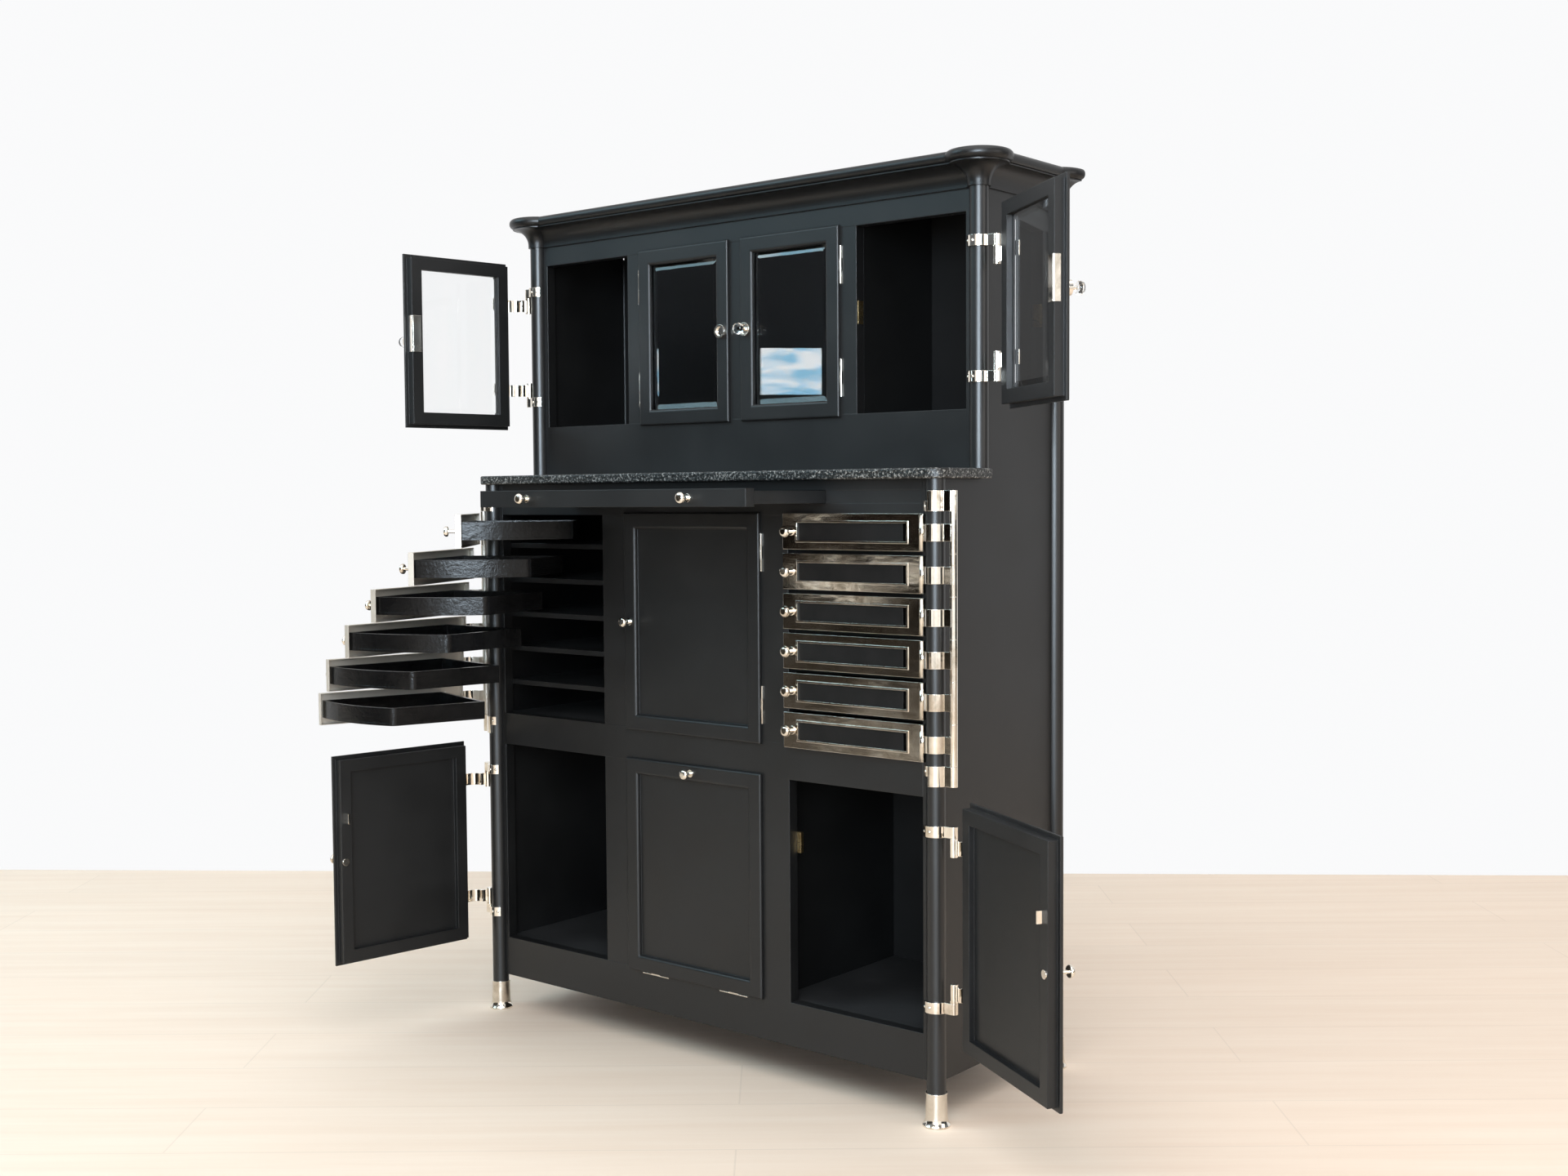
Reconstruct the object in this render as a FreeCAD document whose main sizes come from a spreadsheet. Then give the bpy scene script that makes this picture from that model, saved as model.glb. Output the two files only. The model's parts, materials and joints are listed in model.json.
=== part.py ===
import FreeCAD, Part
import os

# Two-tier instrument cabinet with swing trays, drawn in the pose of the photo.
# X runs right, Y runs back, Z runs up; the origin is on the floor under the middle of the drawn pose.

TRAY_COUNT = 6

SIZES = (
    ("post_depth", 351.0, "between the axes of the front and rear posts"),
    ("post_dia", 30.0, "corner post diameter"),
    ("foot_dia", 44.0, "foot diameter on the floor"),
    ("foot_height", 52.0, "foot height"),
    ("foot_flare", 13.0, "height of the flare of a foot"),
    ("foot_sleeve_dia", 35.0, "foot diameter above its flare"),
    ("foot_neck_dia", 33.0, "foot diameter under the post"),
    ("foot_bead", 1.0, "foot neck band over the neck diameter"),
    ("foot_rim", 2.5, "height of the straight bands of a foot"),
    ("upper_setback", 121.0, "upper front posts behind the lower front posts"),
    ("carcass_bottom", 66.0, "underside of the lower case"),
    ("worktop_thick", 16.0, "worktop thickness"),
    ("worktop_overhang", 24.0, "worktop edge outside the post axes"),
    ("worktop_edge", 3.0, "rounding of the worktop edges"),
    ("side_proud", 3.0, "side panel face outside the post axes"),
    ("back_thick", 12.0, "back panel thickness"),
    ("board_thick", 18.0, "carcass board thickness"),
    ("frame_thick", 20.0, "face frame thickness"),
    ("seam", 0.2, "seam between a flat piece and a round post"),
    ("stile_reveal", 24.0, "outer edge of an opening to the post axis"),
    ("stile_width", 61.5, "width of the stiles beside the centre openings"),
    ("bay_width", 264.0, "width of the side bays"),
    ("centre_half", 150.5, "half width of the centre openings"),
    ("partition_inset", 7.5, "centre opening to the lower partitions"),
    ("bottom_rail", 72.0, "height of the bottom rail"),
    ("lower_open", 368.0, "height of the lower openings"),
    ("middle_rail", 58.5, "height of the middle rail"),
    ("tray_open", 371.5, "height of the tray bays"),
    ("slot_rail", 19.0, "height of the rail under the slide"),
    ("slot_open", 21.0, "height of the slide slot"),
    ("top_rail", 16.5, "height of the rail over the slide"),
    ("upper_rail", 93.5, "height of the rail under the upper doors"),
    ("upper_open", 306.5, "height of the upper openings"),
    ("inner_door_share", 0.4905, "share of the upper width for the inner doors"),
    ("upper_stile", 37.5, "width of the inner upper stiles"),
    ("upper_centre_half", 18.5, "half width of the centre upper stile"),
    ("frieze", 35.5, "height of the frieze over the upper doors"),
    ("cove_height", 36.0, "cornice cove height"),
    ("cove_bead", 5.0, "height of the bead under the cove"),
    ("cove_foot", 3.5, "cove foot outside the face"),
    ("cove_lip", 2.0, "thickness of the cove at its top edge"),
    ("cornice_thick", 18.0, "cornice board thickness"),
    ("cornice_overhang", 36.0, "cornice board outside the faces"),
    ("lobe_dia", 108.0, "cornice lobe diameter over the posts"),
    ("cornice_edge_share", 0.478, "rounding of the cornice edges as a share of the board"),
    ("cornice_back", 4.0, "cornice board behind the rear post axes"),
    ("pivot_gap", 16.0, "pivot axis outside the post surface"),
    ("pivot_back", 2.0, "pivot axis behind the face"),
    ("barrel_dia", 13.0, "hinge barrel diameter"),
    ("rod_dia", 7.0, "pivot rod and pin diameter"),
    ("fit_clear", 0.05, "radial clearance of the pivots"),
    ("end_play", 0.3, "gap between stacked barrels"),
    ("strap_gap", 1.2, "strap clear of the post"),
    ("strap_thick", 3.0, "strap thickness"),
    ("strap_height", 26.0, "tray strap height"),
    ("strap_fillet", 5.0, "rounding where a tray strap widens"),
    ("strap_tail", 5.0, "depth of a strap beside its barrel"),
    ("strap_tray_deg", 198.0, "turn at which a tray strap leaves its front"),
    ("strap_door_deg", 204.0, "turn at which a door strap leaves its leaf"),
    ("strap_leaf_deg", 52.0, "turn at which a door leaf runs into its strap"),
    ("strap_end_deg", 358.0, "turn at which a strap meets its barrel"),
    ("face_clear", 0.5, "closed doors and trays clear of the face"),
    ("plate_overlay", 3.5, "tray fronts over the bay ends"),
    ("plate_gap", 6.7, "gap between tray fronts"),
    ("plate_lap", 2.0, "tray front over the inner bay edge"),
    ("plate_post_gap", 1.0, "tray front clear of the post"),
    ("plate_depth", 10.0, "depth of the tray front pan"),
    ("plate_sheet", 1.5, "sheet thickness of the tray front"),
    ("window_margin", 30.0, "tray front end to its window"),
    ("window_rail", 14.5, "tray front edge to its window"),
    ("bead_width", 3.0, "bead round the window"),
    ("bead_proud", 1.4, "bead height"),
    ("knob_inset", 17.0, "tray front end to its knob"),
    ("tray_clear", 4.0, "swinging rim clear of the bay edge"),
    ("tray_depth", 186.0, "tray depth behind the face"),
    ("tray_side_inset", 85.0, "pivot axis to the straight tray side"),
    ("tray_rim", 31.0, "tray height"),
    ("tray_wall", 6.0, "tray wall thickness"),
    ("tray_base", 4.0, "tray base thickness"),
    ("tray_corner", 14.0, "rounding of the bent tray corner"),
    ("tray_shelf", 9.0, "shelf between the trays"),
    ("door_overlay", 4.5, "door lip over its opening"),
    ("door_lip", 6.0, "door lip thickness"),
    ("door_tongue", 15.5, "door thickness inside its opening"),
    ("door_gap", 2.0, "door clear of its opening"),
    ("door_margin", 28.0, "width of the door frame members"),
    ("door_recess", 8.0, "panel behind the door front"),
    ("door_groove", 6.0, "panel groove depth"),
    ("door_round", 3.0, "rounding of the outer door edges"),
    ("door_sticking", 5.0, "rounding of the inner door edges"),
    ("panel_thick", 4.5, "door panel thickness"),
    ("glass_thick", 4.0, "glass thickness"),
    ("glass_bevel", 10.0, "bevel inside the sight edge"),
    ("hinge_inset", 62.0, "door end to its hinge barrel"),
    ("hinge_barrel", 29.0, "moving hinge barrel length"),
    ("hinge_fixed", 17.0, "fixed hinge barrel length"),
    ("hinge_leaf", 24.0, "length of the leaf on the door"),
    ("hinge_leaf_thick", 2.2, "thickness of the leaf on the door"),
    ("hinge_strap", 22.0, "door strap height"),
    ("hinge_seat", 4.0, "bracket thickness on the post"),
    ("hinge_seat_deg", 218.0, "turn at which a door bracket begins"),
    ("hinge_screw_a_deg", 234.0, "turn of the first screw of a door bracket"),
    ("hinge_screw_b_deg", 270.0, "turn of the second screw of a door bracket"),
    ("bracket_seat_deg", 264.0, "turn at which a tray bracket begins"),
    ("bracket_lobe_deg", 228.0, "turn at which the lobe of a tray bracket begins"),
    ("bracket_screw_deg", 246.0, "turn of the screw of a tray bracket"),
    ("bracket_height", 31.0, "tray pivot bracket height"),
    ("screw_dia", 5.0, "screw head diameter"),
    ("butt_height", 62.0, "butt hinge height"),
    ("butt_dia", 3.2, "butt hinge knuckle diameter"),
    ("butt_pin", 1.6, "butt hinge pin diameter"),
    ("butt_out", 1.9, "butt hinge axis outside the door edge"),
    ("butt_front", 2.0, "butt hinge axis in front of the face"),
    ("butt_inset", 34.0, "door end to its butt hinge"),
    ("butt_leaf", 1.2, "butt hinge leaf thickness"),
    ("butt_play", 0.2, "gap between butt hinge knuckles"),
    ("knob_dia", 18.0, "knob diameter"),
    ("knob_head", 8.0, "knob head thickness"),
    ("knob_reach", 22.0, "knob projection"),
    ("knob_front_share", 0.6, "rounding of a knob front as a share of its head"),
    ("knob_back_share", 0.3, "rounding of a knob back as a share of its head"),
    ("rose_dia", 13.0, "knob rose diameter"),
    ("rose_thick", 2.0, "knob rose thickness"),
    ("neck_dia", 6.0, "knob neck diameter"),
    ("rosette_dia", 23.0, "glass knob rosette diameter"),
    ("rosette_thick", 6.0, "glass knob rosette thickness"),
    ("glass_knob_dia", 20.0, "glass knob diameter"),
    ("glass_knob_head", 10.0, "glass knob thickness"),
    ("glass_knob_reach", 26.0, "glass knob projection"),
    ("glass_front_share", 0.5, "rounding of a glass knob front as a share of its head"),
    ("rosette_dish_share", 0.7, "dish of a rosette as a share of its diameter"),
    ("lock_height", 66.0, "lock plate height"),
    ("lock_width", 17.0, "lock plate width"),
    ("lock_thick", 1.5, "lock plate thickness"),
    ("lock_inset", 3.0, "lock plate from the opening edge"),
    ("lock_raise", 13.0, "lock plate centre above the door centre"),
    ("lock_side", 10.0, "width of the lock plate on the door edge"),
    ("lock_side_thick", 0.8, "thickness of the lock plate on the door edge"),
    ("strike_height", 38.0, "strike plate height"),
    ("strike_width", 14.0, "strike plate width"),
    ("strike_thick", 0.6, "strike plate thickness"),
    ("catch_height", 34.0, "catch height"),
    ("catch_width", 7.5, "catch width"),
    ("catch_depth", 6.5, "catch depth"),
    ("catch_foot", 12.0, "catch foot on the back of the stile"),
    ("catch_raise", 78.0, "catch centre above the door centre"),
    ("catch_gap", 2.5, "tongue beside the catch"),
    ("catch_tongue", 3.0, "catch tongue thickness"),
    ("catch_tongue_height", 18.0, "catch tongue height"),
    ("slide_half", 290.0, "half width of the slide board"),
    ("slide_back_gap", 39.0, "closed slide board to the back panel"),
    ("slide_clear", 0.4, "slide board clear of its slot"),
    ("slide_rail_over", 9.0, "slide rail beyond the ends of the board"),
    ("slide_rail_lap", 3.5, "slide rail over its slot"),
    ("slide_rail_thick", 19.5, "slide rail thickness"),
    ("slide_guide", 20.0, "slide guide width"),
    ("slide_knob_x", 182.0, "centre line to the slide knobs"),
    ("slide_out", 185.0, "slide pulled out by"),
    ("turn_lower_left_deg", 97.6, "lower left door opened by"),
    ("turn_lower_right_deg", 149.3, "lower right door opened by"),
    ("turn_upper_left_deg", 97.0, "upper left door opened by"),
    ("turn_upper_right_deg", 142.3, "upper right door opened by"),
    ("turn_tray_left_1_deg", 47.2, "first left tray opened by"),
    ("turn_tray_left_2_deg", 62.2, "second left tray opened by"),
    ("turn_tray_left_3_deg", 75.9, "third left tray opened by"),
    ("turn_tray_left_4_deg", 87.8, "fourth left tray opened by"),
    ("turn_tray_left_5_deg", 99.6, "fifth left tray opened by"),
    ("turn_tray_left_6_deg", 107.0, "sixth left tray opened by"),
    ("origin_right", 82.173, "origin of the drawn pose right of the case centre"),
    ("origin_front", 148.622, "origin of the drawn pose in front of the case centre"),
)

doc = FreeCAD.newDocument("InstrumentCabinet")
sheet = doc.addObject("Spreadsheet::Sheet", "Sizes")
for row, (alias, value, meaning) in enumerate(SIZES, start=1):
    sheet.set(f"A{row}", meaning)
    sheet.set(f"B{row}", str(value))
    sheet.setAlias(f"B{row}", alias)
doc.recompute()


class Names:
    """Each sheet alias as text for an expression."""

    def __getattr__(self, alias):
        return "Sizes." + alias


S = Names()
UP = FreeCAD.Vector(0, 0, 1)
RIGHT = FreeCAD.Vector(1, 0, 0)
BACK = FreeCAD.Vector(0, 1, 0)
NOWHERE = FreeCAD.Vector(0, 0, 0)
TO_FRONT = FreeCAD.Rotation(RIGHT, 90)
TO_RIGHT = FreeCAD.Rotation(BACK, 90)
NEAR = 1e-6
nodes = []


def number(alias):
    return float(sheet.get(alias))


def place(item, x, y, z):
    """Bind the place of an object."""
    item.setExpression("Placement.Base.x", x)
    item.setExpression("Placement.Base.y", y)
    item.setExpression("Placement.Base.z", z)
    return item


def box(name, x, y, z):
    """A box between pairs of bounds."""
    item = doc.addObject("Part::Box", name)
    for side, (low, high) in zip(("Length", "Width", "Height"), (x, y, z)):
        item.setExpression(side, f"({high}) - ({low})")
    return place(item, x[0], y[0], z[0])


def post(name, x, y, z, dia):
    """An upright cylinder between two levels."""
    item = doc.addObject("Part::Cylinder", name)
    item.setExpression("Radius", f"({dia}) / 2")
    item.setExpression("Height", f"({z[1]}) - ({z[0]})")
    return place(item, x, y, z[0])


def stud(name, x, y, z, dia, reach):
    """A cylinder that stands out to the front from a face."""
    item = doc.addObject("Part::Cylinder", name)
    item.setExpression("Radius", f"({dia}) / 2")
    item.setExpression("Height", reach)
    item.Placement = FreeCAD.Placement(NOWHERE, TO_FRONT)
    return place(item, x, y, z)


def bar(name, x, y, z, dia):
    """A cylinder that lies from left to right."""
    item = doc.addObject("Part::Cylinder", name)
    item.setExpression("Radius", f"({dia}) / 2")
    item.setExpression("Height", f"({x[1]}) - ({x[0]})")
    item.Placement = FreeCAD.Placement(NOWHERE, TO_RIGHT)
    return place(item, x[0], y, z)


def purlin(name, x, y, z, dia):
    """A cylinder that lies from back to front."""
    item = doc.addObject("Part::Cylinder", name)
    item.setExpression("Radius", f"({dia}) / 2")
    item.setExpression("Height", f"({y[1]}) - ({y[0]})")
    item.Placement = FreeCAD.Placement(NOWHERE, TO_FRONT)
    return place(item, x, y[1], z)


def fuse(name, *shapes):
    item = doc.addObject("Part::MultiFuse", name)
    item.Shapes = list(shapes)
    item.Refine = True
    return item


def common(name, *shapes):
    item = doc.addObject("Part::MultiCommon", name)
    item.Shapes = list(shapes)
    return item


def cut(name, base, tool):
    item = doc.addObject("Part::Cut", name)
    item.Base = base
    item.Tool = tool
    item.Refine = True
    return item


def group(name, *shapes):
    item = doc.addObject("Part::Compound", name)
    item.Links = list(shapes)
    return item


def use(name, master, x, y, z):
    """A copy of a master at a bound place."""
    return place(group(name, master), x, y, z)


def mirror(name, source):
    item = doc.addObject("Part::Mirroring", name)
    item.Source = source
    item.Normal = RIGHT
    item.Base = NOWHERE
    return item


def both(name, source):
    """A right-hand piece with its left-hand twin."""
    return (source, mirror(name + "_twin", source))


def rounded(name, base, wanted):
    """Round the edges for which wanted gives a radius."""
    item = doc.addObject("Part::Fillet", name)
    item.Base = base
    edges = []
    for index, edge in enumerate(base.Shape.Edges, start=1):
        radius = wanted(edge)
        if radius:
            edges.append((index, radius, radius))
    item.Edges = edges
    return item


def settle(item, x, y, z):
    """Bind the place of a node in the frame of the drawn pose."""
    return place(item, f"{x} - {S.origin_right}", f"{y} + {S.origin_front}", z)


def node(label, *shapes):
    item = group("node_" + label, *shapes)
    item.Label = label
    nodes.append(item)
    return settle(item, "0", "0", "0")


def arc_strip(name, x, y, z, inner, outer, start, end):
    """A strip bent round an upright axis between two turns."""
    sector = post(name + "_sector", x, y, z, outer)
    sector.setExpression("Angle", f"{end} - {start}")
    sector.setExpression("Placement.Rotation.Angle", start)
    core = post(name + "_core", x, y, z, inner)
    return cut(name, sector, core)


def span(centre, size):
    """Bounds of a size laid out round a centre."""
    return (f"({centre}) - ({size}) / 2", f"({centre}) + ({size}) / 2")


def grown(bounds, by):
    return (f"({bounds[0]}) - ({by})", f"({bounds[1]}) + ({by})")


# Planes and lines that many pieces share.
bay_inner = f"({S.centre_half} + {S.stile_width})"
bay_out = f"({bay_inner} + {S.bay_width})"
post_x = f"({bay_out} + {S.stile_reveal})"
post_r = f"({S.post_dia} / 2)"
front_y = f"(-{S.post_depth} / 2)"
rear_y = f"({S.post_depth} / 2)"
upper_y = f"({front_y} + {S.upper_setback})"
side_x = f"({post_x} + {S.side_proud})"
inner_x = f"({post_x} - {post_r})"
frame_x = f"({inner_x} - {S.seam})"
lower_back = f"({front_y} + {S.frame_thick})"
upper_back = f"({upper_y} + {S.frame_thick})"
back_in = f"({rear_y} - {S.back_thick})"
lower_sill = f"({S.carcass_bottom} + {S.bottom_rail})"
lower_head = f"({lower_sill} + {S.lower_open})"
tray_sill = f"({lower_head} + {S.middle_rail})"
tray_head = f"({tray_sill} + {S.tray_open})"
slot_sill = f"({tray_head} + {S.slot_rail})"
slot_head = f"({slot_sill} + {S.slot_open})"
slab_low = f"({slot_head} + {S.top_rail})"
worktop_height = f"({slab_low} + {S.worktop_thick})"
upper_sill = f"({worktop_height} + {S.upper_rail})"
upper_head = f"({upper_sill} + {S.upper_open})"
frieze_top = f"({upper_head} + {S.frieze})"
behind_front_post = f"({front_y} + {post_r} + {S.seam})"
behind_upper_post = f"({upper_y} + {post_r} + {S.seam})"
before_rear_post = f"({rear_y} - {post_r} - {S.seam})"
partition_x = f"({S.centre_half} + {S.partition_inset})"
part_out = f"({partition_x} + {S.board_thick})"
inner_bay_out = (f"({S.upper_centre_half} + {S.inner_door_share}"
                 f" * ({bay_out} - {S.upper_centre_half} - {S.upper_stile}))")
upper_bay_inner = f"({inner_bay_out} + {S.upper_stile})"
upper_part_in = f"({upper_bay_inner} - {S.board_thick})"
cornice_low = f"({frieze_top} + {S.cove_height})"
cornice_high = f"({cornice_low} + {S.cornice_thick})"
pivot_out = f"({post_r} + {S.pivot_gap})"
pivot_x = f"({post_x} + {pivot_out})"
pivot_front = f"(-{S.pivot_back})"
slot_half = f"({S.slide_half} + {S.slide_clear})"
plate_pitch = (f"(({tray_head} - {tray_sill} + 2 * {S.plate_overlay} + {S.plate_gap})"
               f" / {TRAY_COUNT})")
plate_high = f"({plate_pitch} - {S.plate_gap})"
front_of_door = f"({S.face_clear} + {S.door_lip})"
bore_dia = f"({S.rod_dia} + 2 * {S.fit_clear})"
tray_top = f"({tray_head} + {S.plate_overlay} + {S.plate_gap} / 2)"
tray_bottom = f"({tray_top} - {TRAY_COUNT} * {plate_pitch})"


def both_ways(limit):
    return (f"-{limit}", limit)


def left_of(bounds):
    return (f"-({bounds[1]})", f"-({bounds[0]})")


def pair(name, x, y, z):
    """A right-hand box and its left-hand twin."""
    return (box(name + "_right", x, y, z), box(name + "_left", left_of(x), y, z))


# Knobs, drawn once and used at several places.
doc.recompute()
rose = stud("knob_rose", "0", "0", "0", S.rose_dia, S.rose_thick)
neck = stud("knob_neck", "0", "0", "0", S.neck_dia, f"{S.knob_reach} - {S.knob_head} / 2")
head_blank = stud("knob_blank", "0", f"-({S.knob_reach} - {S.knob_head})", "0", S.knob_dia, S.knob_head)
glass_blank = stud("glass_blank", "0", f"-({S.glass_knob_reach} - {S.glass_knob_head})", "0",
                   S.glass_knob_dia, S.glass_knob_head)
doc.recompute()


def knob_edge(edge):
    """The front edge of a knob is rounder than its back edge."""
    if len(edge.Vertexes) != 1:
        return None
    front = edge.BoundBox.YMin + number("knob_reach") < number("knob_head") / 2
    return number("knob_head") * number("knob_front_share" if front else "knob_back_share")


def glass_edge(edge):
    """A cut glass knob has a broad round front."""
    if len(edge.Vertexes) != 1:
        return None
    front = edge.BoundBox.YMin + number("glass_knob_reach") < number("glass_knob_head") / 2
    return number("glass_knob_head") * number("glass_front_share" if front else "knob_back_share")


knob_head = rounded("knob_head_round", head_blank, knob_edge)
knob = fuse("knob", rose, neck, knob_head)
glass_knob = rounded("glass_knob", glass_blank, glass_edge)
rosette = cut("rosette",
              stud("rosette_disc", "0", "0", "0", S.rosette_dia, S.rosette_thick),
              stud("rosette_dish", "0", f"-{S.rosette_thick} / 2", "0",
                   f"{S.rosette_dia} * {S.rosette_dish_share}", S.rosette_thick))
glass_neck = stud("glass_neck", "0", "0", "0", S.neck_dia, f"{S.glass_knob_reach} - {S.glass_knob_head}")
glass_knob_base = fuse("glass_knob_base", rosette, glass_neck)


# Posts and feet.
def posts_and_feet():
    lower = post("post_lower", post_x, front_y, (S.foot_height, slab_low), S.post_dia)
    upper = post("post_upper", post_x, upper_y, (worktop_height, frieze_top), S.post_dia)
    rear = post("post_rear", post_x, rear_y, (S.foot_height, frieze_top), S.post_dia)
    node("corner_posts", *both("post_lower", lower), *both("post_upper", upper),
         *both("post_rear", rear))
    flare_top = f"({S.foot_rim} + {S.foot_flare})"
    flare_out = f"(({S.foot_dia} - {S.foot_sleeve_dia}) / 2)"
    flare_round = f"(({S.foot_flare} ^ 2 + {flare_out} ^ 2) / (2 * {flare_out}))"
    hollow = doc.addObject("Part::Torus", "foot_hollow")
    hollow.setExpression("Radius1", f"{S.foot_sleeve_dia} / 2 + {flare_round}")
    hollow.setExpression("Radius2", flare_round)
    place(hollow, "0", "0", flare_top)
    flare = cut("foot_flare", post("foot_blank", "0", "0", ("0", flare_top), S.foot_dia), hollow)
    sleeve = doc.addObject("Part::Cone", "foot_sleeve")
    sleeve.setExpression("Radius1", f"{S.foot_sleeve_dia} / 2")
    sleeve.setExpression("Radius2", f"{S.foot_neck_dia} / 2")
    sleeve.setExpression("Height", f"{S.foot_height} - {S.foot_rim} - {flare_top}")
    place(sleeve, "0", "0", flare_top)
    neck_band = post("foot_neck_band", "0", "0", (f"{S.foot_height} - {S.foot_rim}", S.foot_height),
                     f"{S.foot_neck_dia} + {S.foot_bead}")
    foot = fuse("foot", flare, sleeve, neck_band)
    front = use("foot_front", foot, post_x, front_y, "0")
    back = use("foot_rear", foot, post_x, rear_y, "0")
    node("post_feet", *both("foot_front", front), *both("foot_rear", back))


# Panels and boards of the case.
def case():
    lower = pair("side_lower", (inner_x, side_x), (behind_front_post, before_rear_post),
                 (S.carcass_bottom, slab_low))
    upper = pair("side_upper", (inner_x, side_x), (behind_upper_post, before_rear_post),
                 (slab_low, cornice_low))
    node("side_panels", *lower, *upper)
    node("back_panel", box("back", both_ways(frame_x), (back_in, rear_y),
                           (S.carcass_bottom, cornice_low)))
    depth = (lower_back, back_in)
    upper_depth = (upper_back, back_in)
    across = both_ways(inner_x)
    mid = (f"{tray_sill} - {S.board_thick}", tray_sill)
    boards = [
        box("bottom_board", across, depth, (f"{lower_sill} - {S.board_thick}", lower_sill)),
        box("mid_centre", both_ways(partition_x), depth, mid),
        box("slide_bed", across, depth, (tray_head, slot_sill)),
        box("deck", across, depth, (slot_head, slab_low)),
        box("upper_base", across, (behind_upper_post, back_in), (slab_low, worktop_height)),
        box("upper_floor", across, upper_depth, (f"{upper_sill} - {S.board_thick}", upper_sill)),
    ]
    boards += pair("mid_side", (part_out, inner_x), depth, mid)
    boards += pair("slide_guide", (slot_half, f"{slot_half} + {S.slide_guide}"), depth,
                   (slot_sill, slot_head))
    node("carcass_boards", *boards)
    walls = pair("partition", (partition_x, part_out), depth, (lower_sill, tray_head))
    walls += pair("upper_partition", (upper_part_in, upper_bay_inner), upper_depth,
                  (upper_sill, cornice_low))
    node("partitions", *walls)
    shelves = []
    for step in range(1, TRAY_COUNT):
        level = span(f"{tray_top} - {step} * {plate_pitch}", S.tray_shelf)
        shelves += pair(f"tray_shelf_{step}", (part_out, inner_x), depth, level)
    node("tray_shelves", *shelves)


# Face frames, each made of separate rails and stiles.
def face_frames():
    thick = (front_y, lower_back)
    across = both_ways(bay_out)
    pieces = [
        box("rail_bottom", across, thick, (S.carcass_bottom, lower_sill)),
        box("rail_middle", across, thick, (lower_head, tray_sill)),
        box("rail_under_slot", across, thick, (tray_head, slot_sill)),
        box("rail_top", across, thick, (slot_head, slab_low)),
    ]
    pieces += pair("stile_outer", (bay_out, frame_x), thick, (S.carcass_bottom, slab_low))
    pieces += pair("slot_end", (slot_half, bay_out), thick, (slot_sill, slot_head))
    inner = (S.centre_half, bay_inner)
    pieces += pair("stile_lower", inner, thick, (lower_sill, lower_head))
    pieces += pair("stile_tray", inner, thick, (tray_sill, tray_head))
    node("lower_face_frame", *pieces)
    thick = (upper_y, upper_back)
    door_level = (upper_sill, upper_head)
    pieces = [
        box("upper_rail_bottom", across, thick, (worktop_height, upper_sill)),
        box("upper_rail_top", across, thick, (upper_head, cornice_low)),
        box("upper_stile_centre", both_ways(S.upper_centre_half), thick, door_level),
    ]
    pieces += pair("upper_stile_outer", (bay_out, frame_x), thick, (worktop_height, cornice_low))
    pieces += pair("upper_stile_inner", (inner_bay_out, upper_bay_inner), thick, door_level)
    node("upper_face_frame", *pieces)


# Worktop with front corners round the posts.
def worktop():
    level = (slab_low, worktop_height)
    edge_x = f"({post_x} + {S.worktop_overhang})"
    edge_y = f"({front_y} - {S.worktop_overhang})"
    blank = box("worktop_blank", both_ways(edge_x), (edge_y, upper_y), level)
    tail = box("worktop_tail", both_ways(side_x), (upper_y, behind_upper_post), level)
    doc.recompute()
    front = blank.Shape.BoundBox.YMin

    def corner(edge):
        upright = edge.BoundBox.ZLength > number("worktop_thick") / 2
        return number("worktop_overhang") if upright and edge.BoundBox.YMax < front + NEAR else None

    shaped = rounded("worktop_corners", blank, corner)
    doc.recompute()
    rear = blank.Shape.BoundBox.YMax

    def outline(edge):
        flat = edge.BoundBox.ZLength < NEAR
        return number("worktop_edge") if flat and edge.BoundBox.YMin < rear - NEAR else None

    soft = rounded("worktop_soft", shaped, outline)
    node("worktop", fuse("worktop_slab", soft, tail))


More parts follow.
